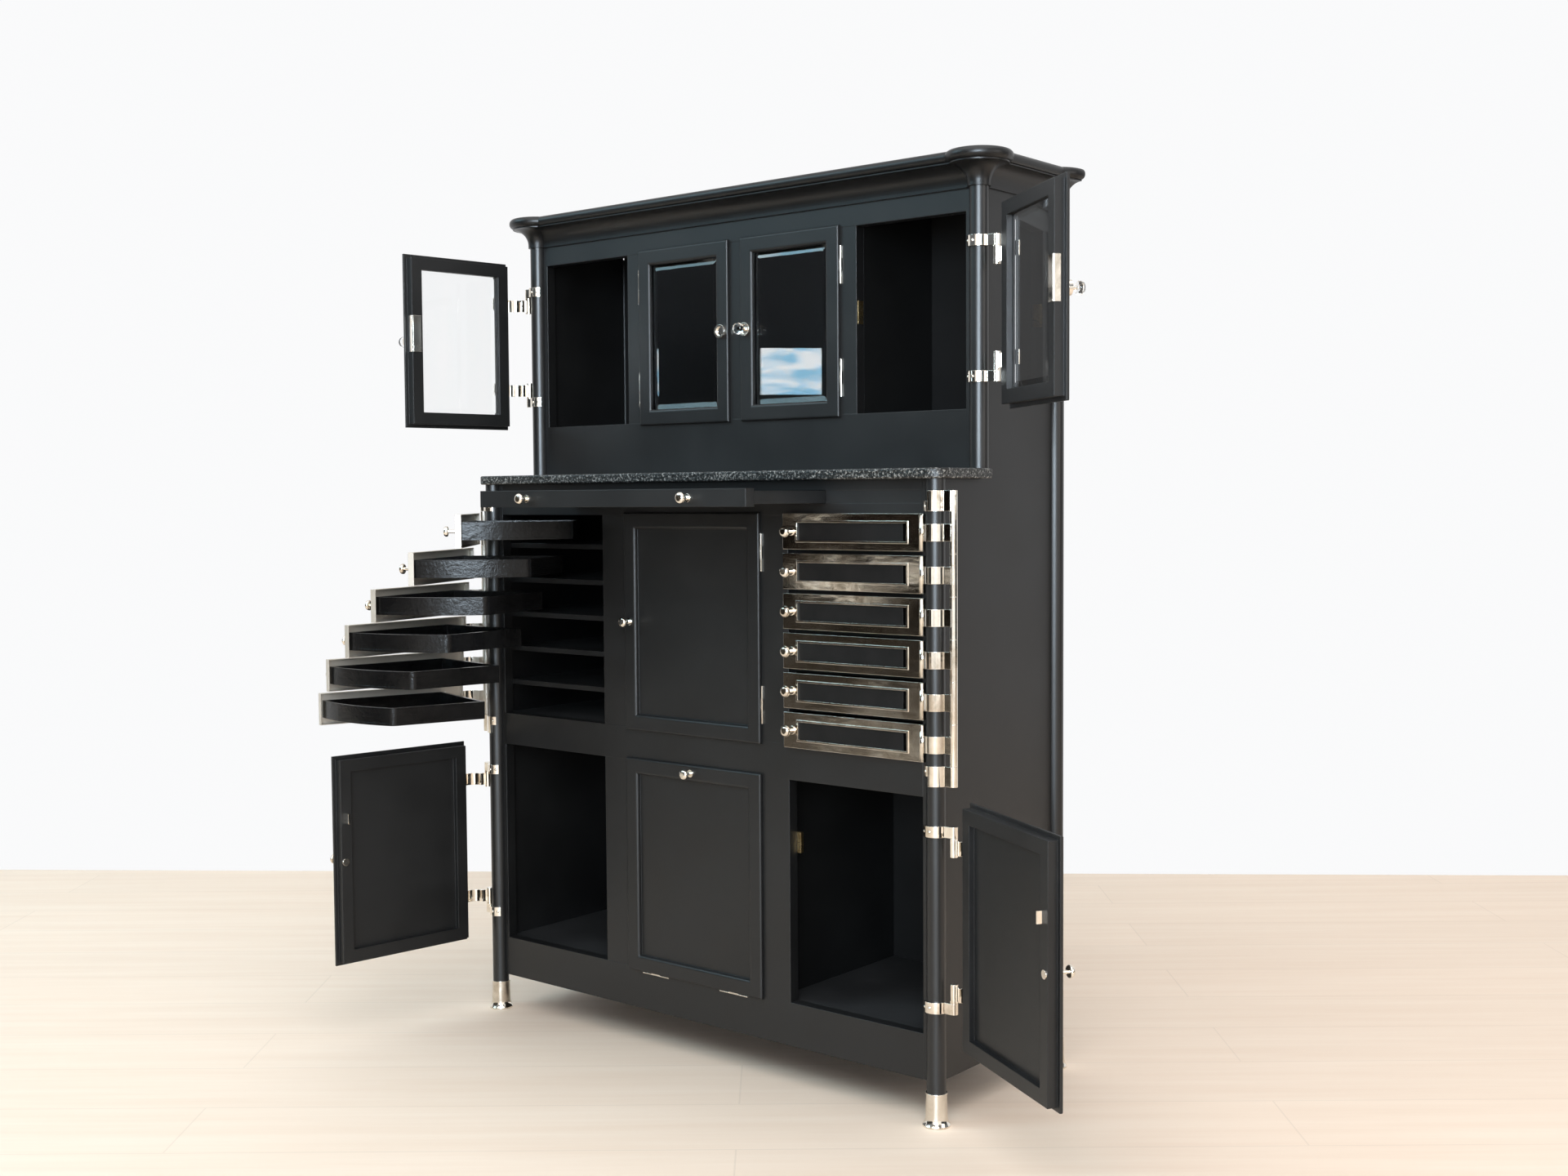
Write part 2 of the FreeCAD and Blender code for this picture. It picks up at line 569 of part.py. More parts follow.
# Cornice: a cove that turns round the posts and a lobed top board.
def cornice():
    low = f"({frieze_top} + {S.cove_bead})"
    hollow = f"({cornice_low} - {S.cove_lip} - {low})"
    reach = f"({S.cove_foot} + {hollow})"
    level = (low, cornice_low)
    bead_level = (frieze_top, low)
    rear_cut = f"({rear_y} + {S.cornice_back})"
    run_front = cut("cove_front",
                    box("cove_front_block", both_ways(side_x), (f"{upper_y} - {reach}", upper_y), level),
                    bar("cove_front_hollow", both_ways(side_x), f"{upper_y} - {reach}", low,
                        f"2 * {hollow}"))
    run_side = cut("cove_side",
                   box("cove_side_block", (side_x, f"{side_x} + {reach}"), (upper_y, rear_y), level),
                   purlin("cove_side_hollow", f"{side_x} + {reach}", (upper_y, rear_y), low,
                          f"2 * {hollow}"))
    bead_out = S.cove_foot
    bead_front = box("bead_front", both_ways(side_x), (f"{upper_y} - {bead_out}", upper_y), bead_level)
    bead_side = box("bead_side", (side_x, f"{side_x} + {bead_out}"), (upper_y, rear_y), bead_level)
    ring_r = f"({post_r} + {reach})"
    ring = doc.addObject("Part::Torus", "capital_hollow")
    ring.setExpression("Radius1", ring_r)
    ring.setExpression("Radius2", hollow)
    place(ring, "0", "0", low)
    bell = cut("capital_bell", post("capital_blank", "0", "0", level, f"2 * {ring_r}"), ring)
    foot = post("capital_foot", "0", "0", bead_level, f"{S.post_dia} + 2 * {bead_out}")
    capital = fuse("capital", bell, foot)
    front = use("capital_front", capital, post_x, upper_y, "0")
    rear = use("capital_rear", capital, post_x, rear_y, "0")
    cove = fuse("cove_blank", run_front, bead_front, *both("cove_side", run_side),
                *both("bead_side", bead_side),
                *both("capital_front", front), *both("capital_rear", rear))
    wide = both_ways(f"({side_x} + 2 * {S.lobe_dia})")
    case_block = box("cove_case", both_ways(side_x), (upper_y, f"{rear_cut} + {S.lobe_dia}"),
                     (f"{frieze_top} - {S.cove_bead}", f"{cornice_low} + {S.cove_bead}"))
    rear_block = box("cove_rear", wide, (rear_cut, f"{rear_cut} + {S.lobe_dia}"),
                     (f"{frieze_top} - {S.cove_bead}", f"{cornice_high} + {S.cove_bead}"))
    cove_shape = cut("cornice_cove", cut("cove_hollow", cove, case_block), rear_block)
    board_level = (cornice_low, cornice_high)
    edge_x = f"({side_x} + {S.cornice_overhang})"
    blank = box("cornice_blank", both_ways(edge_x), (f"{upper_y} - {S.cornice_overhang}", rear_cut),
                board_level)
    lobe_blank = post("lobe_blank", "0", "0", board_level, S.lobe_dia)
    doc.recompute()
    rear_plane = blank.Shape.BoundBox.YMax
    edge_radius = number("cornice_edge_share") * number("cornice_thick")

    def board_edge(edge):
        flat = edge.BoundBox.ZLength < NEAR
        return edge_radius if flat and edge.BoundBox.YMin < rear_plane - NEAR else None

    def lobe_edge(edge):
        return edge_radius if len(edge.Vertexes) == 1 else None

    board = rounded("cornice_board", blank, board_edge)
    lobe = rounded("lobe", lobe_blank, lobe_edge)
    lobe_front = use("lobe_front", lobe, post_x, upper_y, "0")
    lobe_rear = use("lobe_rear", lobe, post_x, rear_y, "0")
    top = fuse("cornice_top_blank", board, *both("lobe_front", lobe_front),
               *both("lobe_rear", lobe_rear))
    node("cornice", cove_shape, cut("cornice_top", top, rear_block))


# Fixed pivots: tray rods with brackets, hinge brackets and the frame leaves of the butt hinges.
def screw(name, x, y, z):
    item = doc.addObject("Part::Sphere", name)
    item.setExpression("Radius", f"{S.screw_dia} / 2")
    return place(item, x, y, z)


def post_screw(name, y_axis, turn, z):
    """A screw head on the seat of a bracket, at a turn round the post."""
    radius = f"({post_r} + {S.hinge_seat} - {S.screw_dia} / 4)"
    return screw(name, f"{post_x} + {radius} * cos({turn} * 1deg)",
                 f"{y_axis} + {radius} * sin({turn} * 1deg)", z)


def seat(name, y_axis, z, start):
    """A strip screwed round the front of a post."""
    inner = S.post_dia
    outer = f"{S.post_dia} + 2 * {S.hinge_seat}"
    return arc_strip(name, post_x, y_axis, z, inner, outer, start, S.strap_end_deg)


def tail(name, x, y, z):
    """The straight end of a strap or a bracket beside its barrel."""
    return box(name, x, (f"{y} - {S.strap_tail}", y), z)


def tray_pivots():
    pivot_y = f"({front_y} - {pivot_front})"
    upper = (f"{tray_top} + {S.end_play}", f"{tray_top} + {S.end_play} + {S.bracket_height}")
    lower = (f"{tray_bottom} - {S.end_play} - {S.bracket_height}", f"{tray_bottom} - {S.end_play}")
    rod = post("tray_rod", pivot_x, pivot_y, (lower[0], upper[1]), S.rod_dia)
    pieces = list(both("tray_rod", rod))
    low_half = (upper[0], f"{upper[0]} + {S.bracket_height} / 2")
    high_half = (f"{lower[1]} - {S.bracket_height} / 2", lower[1])
    for name, level, lobe in (("tray_bracket_top", upper, low_half),
                              ("tray_bracket_bottom", lower, high_half)):
        blank = fuse(name + "_blank",
                     seat(name + "_seat", front_y, level, S.bracket_seat_deg),
                     seat(name + "_lobe", front_y, lobe, S.bracket_lobe_deg),
                     tail(name + "_tail", (post_x, pivot_x), front_y, level),
                     post(name + "_barrel", pivot_x, pivot_y, level, S.barrel_dia),
                     post_screw(name + "_screw", front_y, S.bracket_screw_deg,
                                f"({lobe[0]} + {lobe[1]}) / 2"))
        bored = cut(name + "_bored", blank, post(name + "_bore", pivot_x, pivot_y, level, S.rod_dia))
        pieces += both(name, cut(name, bored, post(name + "_post", post_x, front_y, level, S.post_dia)))
    node("tray_pivots", *pieces)


def hinge_levels(door):
    """Moving and fixed barrel levels of the upper and the lower hinge of a door."""
    high = f"({door[1]} - {S.hinge_inset})"
    low = f"({door[0]} + {S.hinge_inset})"
    above = (f"{high} + {S.end_play}", f"{high} + {S.end_play} + {S.hinge_fixed}")
    below = (f"{low} - {S.end_play} - {S.hinge_fixed}", f"{low} - {S.end_play}")
    upper = ((f"{high} - {S.hinge_barrel}", high), above)
    lower = ((low, f"{low} + {S.hinge_barrel}"), below)
    return (upper, lower)


lower_door = grown((lower_sill, lower_head), S.door_overlay)
upper_door = grown((upper_sill, upper_head), S.door_overlay)
centre_door = grown((tray_sill, tray_head), S.door_overlay)


def post_hinge(name, y_axis, moving, fixed):
    """A bracket on a post with its barrel and the pin on which a door barrel turns."""
    pivot_y = f"({y_axis} - {pivot_front})"
    above = name.endswith("top")
    pin = (moving[0], fixed[1]) if above else (fixed[0], moving[1])
    centre = f"({fixed[0]} + {fixed[1]}) / 2"
    blank = fuse(name + "_blank",
                 seat(name + "_seat", y_axis, fixed, S.hinge_seat_deg),
                 tail(name + "_tail", (post_x, pivot_x), y_axis, fixed),
                 post(name + "_barrel", pivot_x, pivot_y, fixed, S.barrel_dia),
                 post(name + "_pin", pivot_x, pivot_y, pin, S.rod_dia),
                 post_screw(name + "_screw_a", y_axis, S.hinge_screw_a_deg, centre),
                 post_screw(name + "_screw_b", y_axis, S.hinge_screw_b_deg, centre))
    return cut(name, blank, post(name + "_post", post_x, y_axis, fixed, S.post_dia))


# Butt hinge, drawn once about its own axis with the door on its left.
third = f"({S.butt_height} / 3)"
half_butt = f"({S.butt_height} / 2)"
middle = (f"-{third} / 2 + {S.butt_play}", f"{third} / 2 - {S.butt_play}")
low_third = (f"-{half_butt}", f"-{third} / 2")
high_third = (f"{third} / 2", half_butt)
butt_radius = f"({S.butt_dia} / 2)"
leaf_foot = (f"{S.butt_front} - {S.butt_leaf} - {butt_radius} / 2", S.butt_front)
butt_fixed = fuse("butt_fixed",
                  post("butt_knuckle_low", "0", "0", low_third, S.butt_dia),
                  post("butt_knuckle_high", "0", "0", high_third, S.butt_dia),
                  post("butt_pin_rod", "0", "0", (f"-{half_butt}", half_butt), S.butt_pin),
                  box("butt_foot_low", both_ways(butt_radius), leaf_foot, low_third),
                  box("butt_foot_high", both_ways(butt_radius), leaf_foot, high_third))
butt_blank = fuse("butt_blank",
                  post("butt_knuckle_mid", "0", "0", middle, S.butt_dia),
                  box("butt_leaf_edge", (f"-{S.butt_out}", f"-{S.butt_out} + {S.butt_leaf}"),
                      (f"{S.butt_front} - {front_of_door} + {S.door_round}",
                       f"{S.butt_front} - {S.face_clear}"),
                      middle))
butt_moving = cut("butt_moving", butt_blank,
                  post("butt_bore", "0", "0", middle, f"{S.butt_pin} + 2 * {S.fit_clear}"))


def butt_places(door):
    return (f"{door[0]} + {S.butt_inset} + {half_butt}", f"{door[1]} - {S.butt_inset} - {half_butt}")


def butt_pair(name, master, x, y, door):
    """Two butt hinge halves on an upright door edge."""
    low, high = butt_places(door)
    return [use(name + "_low", master, x, y, low), use(name + "_high", master, x, y, high)]


def butt_flap(name, master):
    """Two butt hinge halves on the bottom edge of the drop front."""
    width = grown(both_ways(S.centre_half), S.door_overlay)
    items = []
    for label, x in zip(("_left", "_right"), butt_places(width)):
        item = group(name + label, master)
        item.Placement = FreeCAD.Placement(NOWHERE, TO_RIGHT)
        items.append(place(item, x, flap_axis_y, flap_axis_z))
    return items


centre_axis_x = f"({S.centre_half} + {S.door_overlay} + {S.butt_out})"
inner_axis_x = f"({inner_bay_out} + {S.door_overlay} + {S.butt_out})"
flap_axis_y = f"({front_y} - {S.butt_front})"
flap_axis_z = f"({lower_door[0]} - {S.butt_out})"
inner_axis_y = f"({upper_y} - {S.butt_front})"


def fixed_hinges():
    pieces = []
    for name, y_axis, door in (("lower_hinge", front_y, lower_door),
                               ("upper_hinge", upper_y, upper_door)):
        upper, lower = hinge_levels(door)
        pieces += both(name + "_top", post_hinge(name + "_top", y_axis, *upper))
        pieces += both(name + "_bottom", post_hinge(name + "_bottom", y_axis, *lower))
    pieces += butt_pair("centre_butt", butt_fixed, centre_axis_x, flap_axis_y, centre_door)
    for item in butt_pair("inner_butt", butt_fixed, inner_axis_x, inner_axis_y, upper_door):
        pieces += both(item.Name, item)
    pieces += butt_flap("flap_butt", butt_fixed)
    node("fixed_hinge_leaves", *pieces)


def strikes():
    upper_mid = f"(({upper_sill} + {upper_head}) / 2)"
    lower_mid = f"(({lower_sill} + {lower_head}) / 2)"
    strike = box("strike", (upper_bay_inner, f"{upper_bay_inner} + {S.strike_thick}"),
                 (f"{upper_back} - {S.door_gap} - {S.strike_width}", f"{upper_back} - {S.door_gap}"),
                 span(f"{upper_mid} + {S.lock_raise}", S.strike_height))
    catch = box("catch", (f"{bay_inner} - {S.catch_foot}", f"{bay_inner} + {S.catch_width}"),
                (lower_back, f"{lower_back} + {S.catch_depth}"),
                span(f"{lower_mid} + {S.catch_raise}", S.catch_height))
    node("strike_plates", *both("strike", strike), *both("catch", catch))


# Doors. Each is drawn shut; the outer ones are drawn about their pivot axis.
def loc(x):
    return f"({x} - {pivot_x})"


def door_ring(name, x, z, face, infill):
    """A door frame with a lip, a tongue inside its opening and a groove for its infill."""
    lip = box(name + "_lip", grown(x, S.door_overlay),
              (f"{face} - {front_of_door}", f"{face} - {S.face_clear}"),
              grown(z, S.door_overlay))
    shut = grown(x, f"-{S.door_gap}")
    back = f"({face} - {S.face_clear} + {S.door_tongue})"
    tongue = box(name + "_tongue", shut, (f"{face} - {S.face_clear}", back), grown(z, f"-{S.door_gap}"))
    sight_x, sight_z = sight(x), sight(z)
    hole = box(name + "_hole", sight_x, (f"{face} - 2 * {front_of_door}", f"{back} + {S.door_lip}"),
               sight_z)
    infill_y = infill_bounds(face, infill)
    groove = box(name + "_groove", grown(sight_x, S.door_groove), infill_y,
                 grown(sight_z, S.door_groove))
    return cut(name + "_ring", fuse(name + "_blank", lip, tongue), fuse(name + "_void", hole, groove))


def sight(bounds):
    return grown(bounds, f"{S.door_overlay} - {S.door_margin}")


def infill_bounds(face, infill):
    front = f"({face} - {front_of_door} + {S.door_recess})"
    return (front, f"{front} + {infill}")


def soften(name, ring):
    """Round the front edges of a door frame, outside and inside."""
    whole = ring.Shape.BoundBox

    def wanted(edge):
        bounds = edge.BoundBox
        if bounds.YMax > whole.YMin + NEAR:
            return None
        outside = min(bounds.XMin - whole.XMin, whole.XMax - bounds.XMax,
                      bounds.ZMin - whole.ZMin, whole.ZMax - bounds.ZMax) < NEAR
        spread = max(bounds.XLength / whole.XLength, bounds.ZLength / whole.ZLength)
        return number("door_round") if outside and spread > 1 - NEAR else number("door_sticking")

    return rounded(name + "_frame", ring, wanted)


def panel(name, x, z, face):
    return box(name + "_panel", grown(sight(x), S.door_groove), infill_bounds(face, S.panel_thick),
               grown(sight(z), S.door_groove))


def pane(name, x, z, face):
    """Glass with a broad bevel on its front."""
    item = doc.addObject("Part::Wedge", name + "_pane")
    front = [grown(sight(bounds), f"-{S.glass_bevel}") for bounds in (x, z)]
    back = [grown(sight(bounds), S.door_groove) for bounds in (x, z)]
    depth = infill_bounds(face, S.glass_thick)
    for key, value in (("Xmin", front[0][0]), ("Xmax", front[0][1]), ("Zmin", front[1][0]),
                       ("Zmax", front[1][1]),
                       ("X2min", back[0][0]), ("X2max", back[0][1]), ("Z2min", back[1][0]), ("Z2max",
                                                                                             back[1][1]),
                       ("Ymin", depth[0]), ("Ymax", depth[1])):
        item.setExpression(key, value)
    return item


def door_strap(name, x, level):
    """A leaf on the door front, a strap round the post and a barrel."""
    front = f"({pivot_front} - {front_of_door})"
    tall = span(f"({level[0]} + {level[1]}) / 2", S.hinge_strap)
    inner = f"{S.post_dia} + 2 * {S.strap_gap}"
    outer = f"{inner} + 2 * {S.strap_thick}"
    axis_x, axis_y = f"-{pivot_out}", pivot_front
    end = f"({axis_x} - ({outer}) / 2 * sin({S.strap_leaf_deg} * 1deg))"
    leaf = box(name + "_leaf", (f"{x[1]} - {S.hinge_leaf}", end),
               (f"{front} - {S.hinge_leaf_thick}", front), tall)
    blank = fuse(name + "_blank", leaf,
                 arc_strip(name + "_arc", axis_x, axis_y, tall, inner, outer, S.strap_door_deg,
                           S.strap_end_deg),
                 tail(name + "_tail", (f"{axis_x} + {post_r} + {S.strap_gap}", "0"), axis_y, tall),
                 post(name + "_barrel", "0", "0", level, S.barrel_dia))
    return cut(name, blank, post(name + "_bore", "0", "0", level, bore_dia))


def straps(name, x, door):
    upper, lower = hinge_levels(door)
    return [door_strap(name + "_strap_top", x, upper[0]),
            door_strap(name + "_strap_bottom", x, lower[0])]


def mid(bounds):
    return f"(({bounds[0]} + {bounds[1]}) / 2)"


def build_doors():
    stile = f"({S.door_margin} / 2 - {S.door_overlay})"
    lower_x = (loc(bay_inner), loc(bay_out))
    upper_x = (loc(upper_bay_inner), loc(bay_out))
    inner_x_span = (S.upper_centre_half, inner_bay_out)
    centre_x = both_ways(S.centre_half)
    lower_z = (lower_sill, lower_head)
    tray_z = (tray_sill, tray_head)
    upper_z = (upper_sill, upper_head)
    face = pivot_front
    rings = {
        "lower": door_ring("lower", lower_x, lower_z, face, S.panel_thick),
        "centre": door_ring("centre", centre_x, tray_z, front_y, S.panel_thick),
        "flap": door_ring("flap", centre_x, lower_z, front_y, S.panel_thick),
        "outer": door_ring("outer", upper_x, upper_z, face, S.glass_thick),
        "inner": door_ring("inner", inner_x_span, upper_z, upper_y, S.glass_thick),
    }
    doc.recompute()
    frames = {name: soften(name, ring) for name, ring in rings.items()}
    back = f"({S.door_tongue} - {S.face_clear})"

    lower_wood = group("lower_wood", frames["lower"], panel("lower", lower_x, lower_z, face))
    lower_knob_x = f"{lower_x[0]} + {stile}"
    tongue_x = f"{lower_x[0]} + {S.catch_width} + {S.catch_gap}"
    cap = box("lower_tongue", (tongue_x, f"{tongue_x} + {S.catch_tongue}"),
              (f"{face} + {back}", f"{face} + {S.frame_thick} + {S.catch_depth}"),
              span(f"{mid(lower_z)} + {S.catch_raise}", S.catch_tongue_height))
    screw_end = stud("lower_screw_end", lower_knob_x, f"{face} + {back} + {S.rose_thick}", mid(lower_z),
                     S.rose_dia,
                     S.rose_thick)
    lower_metal = group("lower_metal", *straps("lower", lower_x, lower_door), cap, screw_end,
                        use("lower_knob", knob, lower_knob_x, f"{face} - {front_of_door}", mid(lower_z)))

    outer_knob_x = f"{upper_x[0]} + {stile}"
    outer_frame = group("outer_wood", frames["outer"])
    outer_glass = group("outer_glass", pane("outer", upper_x, upper_z, face),
                        use("outer_glass_knob", glass_knob, outer_knob_x, f"{face} - {front_of_door}",
                            mid(upper_z)))
    plate_x = f"{upper_x[0]} + {S.lock_inset}"
    lock = box("outer_lock", (plate_x, f"{plate_x} + {S.lock_width}"),
               (f"{face} + {back}", f"{face} + {back} + {S.lock_thick}"),
               span(f"{mid(upper_z)} + {S.lock_raise}", S.lock_height))
    edge_x = f"{upper_x[0]} + {S.door_gap}"
    lock_edge = box("outer_lock_edge", (f"{edge_x} - {S.lock_side_thick}", edge_x),
                    (f"{face} + {back} - {S.lock_side}", f"{face} + {back}"),
                    span(f"{mid(upper_z)} + {S.lock_raise}", S.lock_height))
    outer_metal = group("outer_metal", *straps("outer", upper_x, upper_door), lock, lock_edge,
                        use("outer_knob_base", glass_knob_base, outer_knob_x,
                            f"{face} - {front_of_door}",
                            mid(upper_z)))

    for side, sign in (("left", "-"), ("right", "")):
        for label, master, y_axis, turn in (
                ("door_lower_{}_panel", lower_wood, front_y, "turn_lower_"),
                ("door_lower_{}_fittings", lower_metal, front_y, "turn_lower_"),
                ("door_upper_{}_frame", outer_frame, upper_y, "turn_upper_"),
                ("door_upper_{}_glass", outer_glass, upper_y, "turn_upper_"),
                ("door_upper_{}_fittings", outer_metal, upper_y, "turn_upper_")):
            name = label.format(side)
            shape = master if side == "right" else mirror(name + "_twin", master)
            item = node(name, shape)
            settle(item, sign + pivot_x, f"{y_axis} - {pivot_front}", "0")
            item.setExpression("Placement.Rotation.Angle", f"{sign}Sizes.{turn}{side}_deg")

    inner_knob_x = f"{inner_x_span[0]} + {stile}"
    knob_y = f"{upper_y} - {front_of_door}"
    inner_pane = pane("inner", inner_x_span, upper_z, upper_y)
    inner_butts = butt_pair("inner_butt_moving", butt_moving, inner_axis_x, inner_axis_y, upper_door)
    inner_frame = group("inner_wood", frames["inner"])
    right_glass = group("inner_right_glass", inner_pane,
                        use("inner_glass_knob", glass_knob, inner_knob_x, knob_y, mid(upper_z)))
    right_metal = group("inner_right_metal", *inner_butts,
                        use("inner_knob_base", glass_knob_base, inner_knob_x, knob_y, mid(upper_z)))
    # The left door of the pair has a bare rosette.
    left_glass = group("inner_left_glass", inner_pane)
    left_metal = group("inner_left_metal", *inner_butts,
                       use("inner_rosette", rosette, inner_knob_x, knob_y, mid(upper_z)))
    for label, right, left in (("frame", inner_frame, inner_frame), ("glass", right_glass, left_glass),
                               ("fittings", right_metal, left_metal)):
        node("door_inner_right_" + label, right)
        node("door_inner_left_" + label, mirror(f"inner_{label}_twin", left))

    door_y = f"{front_y} - {front_of_door}"
    node("door_centre_panel", frames["centre"], panel("centre", centre_x, tray_z, front_y))
    node("door_centre_fittings",
         *butt_pair("centre_butt_moving", butt_moving, centre_axis_x, flap_axis_y, centre_door),
         use("centre_knob", knob, f"-{S.centre_half} + {stile}", door_y, mid(tray_z)))
    node("drop_front_panel", frames["flap"], panel("flap", centre_x, lower_z, front_y))
    node("drop_front_fittings", *butt_flap("flap_butt_moving", butt_moving),
         use("flap_knob", knob, "0", door_y, f"{lower_head} - {stile}"))


# Swing trays, drawn once about their pivot axis and level with the middle of their front.
def build_trays():
    face = pivot_front
    front = f"({face} - {S.face_clear} - {S.plate_depth})"
    back = f"({face} - {S.face_clear})"
    plate_x = (loc(f"({bay_inner} - {S.plate_lap})"), loc(f"({inner_x} - {S.plate_post_gap})"))
    plate_z = span("0", plate_high)
    window_x = grown(plate_x, f"-{S.window_margin}")
    window_z = grown(plate_z, f"-{S.window_rail}")
    whole = box("pan_block", plate_x, (front, back), plate_z)
    bead = box("pan_bead", grown(window_x, S.bead_width),
               (f"{front} - {S.bead_proud}", f"{front} + {S.plate_sheet}"),
               grown(window_z, S.bead_width))
    pocket = box("pan_pocket", grown(plate_x, f"-{S.plate_sheet}"),
                 (f"{front} + {S.plate_sheet}", f"{back} + {S.plate_depth}"), grown(plate_z,
                                                                                    f"-{S.plate_sheet}"))
    window = box("pan_window", window_x, (f"{front} - {S.plate_depth}", f"{back} + {S.plate_depth}"),
                 window_z)
    pan = cut("pan", fuse("pan_blank", whole, bead), fuse("pan_void", pocket, window))
    inner = f"{S.post_dia} + 2 * {S.strap_gap}"
    sheet_strap = arc_strip("tray_strap_sheet", f"-{pivot_out}", face, plate_z, inner,
                            f"{inner} + 2 * {S.strap_thick}", S.strap_tray_deg, S.strap_end_deg)
    notch_x = (f"-{pivot_out} - {post_r} - {S.strap_gap} + {S.plate_post_gap}", f"-{S.barrel_dia} / 2")
    notch_y = (f"{face} - {S.post_dia}", face)
    half_strap = f"{S.strap_height} / 2"
    notches = [box("strap_notch_high", notch_x, notch_y, (half_strap, plate_high)),
               box("strap_notch_low", notch_x, notch_y, (f"-{plate_high}", f"-{half_strap}"))]
    doc.recompute()

    def notch_edge(edge):
        along = edge.BoundBox.YLength > number("post_dia") / 2
        inmost = min(abs(edge.BoundBox.ZMin), abs(edge.BoundBox.ZMax)) < number("strap_height")
        return number("strap_fillet") if along and inmost else None

    cutters = [rounded(item.Name + "_round", item, notch_edge) for item in notches]
    strap = cut("tray_strap", sheet_strap, fuse("strap_notches", *cutters))
    level = span("0", f"{plate_pitch} - {S.end_play}")
    strap_end = tail("tray_strap_tail", (f"{post_r} + {S.strap_gap} - {pivot_out}", "0"), face,
                     span("0", S.strap_height))
    blank = fuse("tray_front_blank", pan, strap, strap_end,
                 post("tray_barrel", "0", "0", level, S.barrel_dia))
    plate = cut("tray_front", blank, post("tray_bore", "0", "0", level, bore_dia))
    front_master = group("tray_front_right", plate,
                         use("tray_knob", knob, f"{plate_x[0]} + {S.knob_inset}", front, "0"))

    edge = loc(bay_inner)
    radius = f"(sqrt({edge} * {edge} + {pivot_front} * {pivot_front}) - {S.tray_clear})"
    tray_z = span("0", S.tray_rim)
    floor_top = f"({tray_z[0]} + {S.tray_base})"
    wall_z = (floor_top, tray_z[1])
    near = f"({front} + {S.plate_sheet})"
    far = f"({face} + {S.tray_depth})"
    reach = (f"-({radius} + {S.tray_clear})", f"-{S.tray_side_inset}")
    corner = number("tray_corner")

    def outline(name, inset, level, radius_by):
        """The plan of the tray drawn in by an inset, with its bent corner rounded."""
        block = box(name + "_block", (reach[0], f"{reach[1]} - {inset}"),
                    (f"{near} + {inset}", f"{far} - {inset}"), level)
        plan = common(name + "_plan", block,
                      post(name + "_disc", "0", "0", level, f"2 * ({radius} - {inset})"))
        doc.recompute()
        whole_plan = plan.Shape.BoundBox

        def bent(edge):
            upright = edge.BoundBox.ZLength > whole_plan.ZLength / 2
            at_back = edge.BoundBox.YMin > whole_plan.YMax - NEAR
            return radius_by if upright and at_back and edge.BoundBox.XMax < whole_plan.Center.x else None

        return rounded(name, plan, bent)

    floor = outline("tray_floor", "0", (tray_z[0], floor_top), corner)
    band = cut("tray_band", outline("tray_outside", "0", wall_z, corner),
               outline("tray_inside", S.tray_wall, wall_z, corner - number("tray_wall")))
    near_strip = box("tray_near_strip", reach, (near, f"{near} + {S.tray_wall}"), wall_z)
    side_strip = box("tray_side_strip", (f"{reach[1]} - {S.tray_wall}", reach[1]),
                     (f"{near} + {S.tray_wall}", far), wall_z)
    near_wall = common("tray_near_wall", band, near_strip)
    side = common("tray_side_wall", band, side_strip)
    rim = cut("tray_bent_rim", band, fuse("tray_straight", near_strip, side_strip))
    tray_master = group("tray_right", floor, near_wall, side, rim)

    masters = {
        "right": (front_master, tray_master),
        "left": (mirror("tray_front_left", front_master), mirror("tray_left", tray_master)),
    }
    for side_name, sign in (("left", "-"), ("right", "")):
        for step in range(TRAY_COUNT):
            count = step + 1
            level = f"{tray_top} - ({step} + 0.5) * {plate_pitch}"
            for label, master in zip(("front", "tray"), masters[side_name]):
                item = node(f"{label}_{side_name}_{count}", master)
                settle(item, sign + pivot_x, f"{front_y} - {pivot_front}", level)
                if side_name == "left":
                    item.setExpression("Placement.Rotation.Angle", f"-Sizes.turn_tray_left_{count}_deg")


# Pull-out slide, drawn shut and pulled out by its place.
def build_slide():
    face = f"({front_y} - {S.face_clear})"
    board = box("slide_board_blank", both_ways(S.slide_half), (face, f"{back_in} - {S.slide_back_gap}"),
                (f"{slot_sill} + {S.slide_clear}", f"{slot_head} - {S.slide_clear}"))
    rail = box("slide_rail", both_ways(f"({S.slide_half} + {S.slide_rail_over})"),
               (f"{face} - {S.slide_rail_thick}", face), grown((slot_sill, slot_head), S.slide_rail_lap))
    middle_z = mid((slot_sill, slot_head))
    knob_right = use("slide_knob_right", knob, S.slide_knob_x, f"{face} - {S.slide_rail_thick}",
                     middle_z)
    out = f"-{S.slide_out}"
    settle(node("slide_board", board, rail), "0", out, "0")
    settle(node("slide_knobs", *both("slide_knob", knob_right)), "0", out, "0")


posts_and_feet()
case()
face_frames()
worktop()
cornice()
tray_pivots()
fixed_hinges()
strikes()
build_doors()
build_trays()
build_slide()
doc.recompute()

for item in doc.Objects:
    if "Invalid" in item.State or "Error" in item.State:
        raise RuntimeError(f"{item.Label} did not build: {item.State}")
for item in nodes:
    if item.Shape.isNull() or not item.Shape.isValid() or not item.Shape.Solids:
        raise RuntimeError(f"{item.Label} has no valid shape")

os.makedirs("parts", exist_ok=True)
for item in nodes:
    item.Shape.exportStep(f"parts/{item.Label}.step")
print(len(nodes), "nodes written")
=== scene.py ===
import json
import math

import bpy
from mathutils import Matrix, Vector


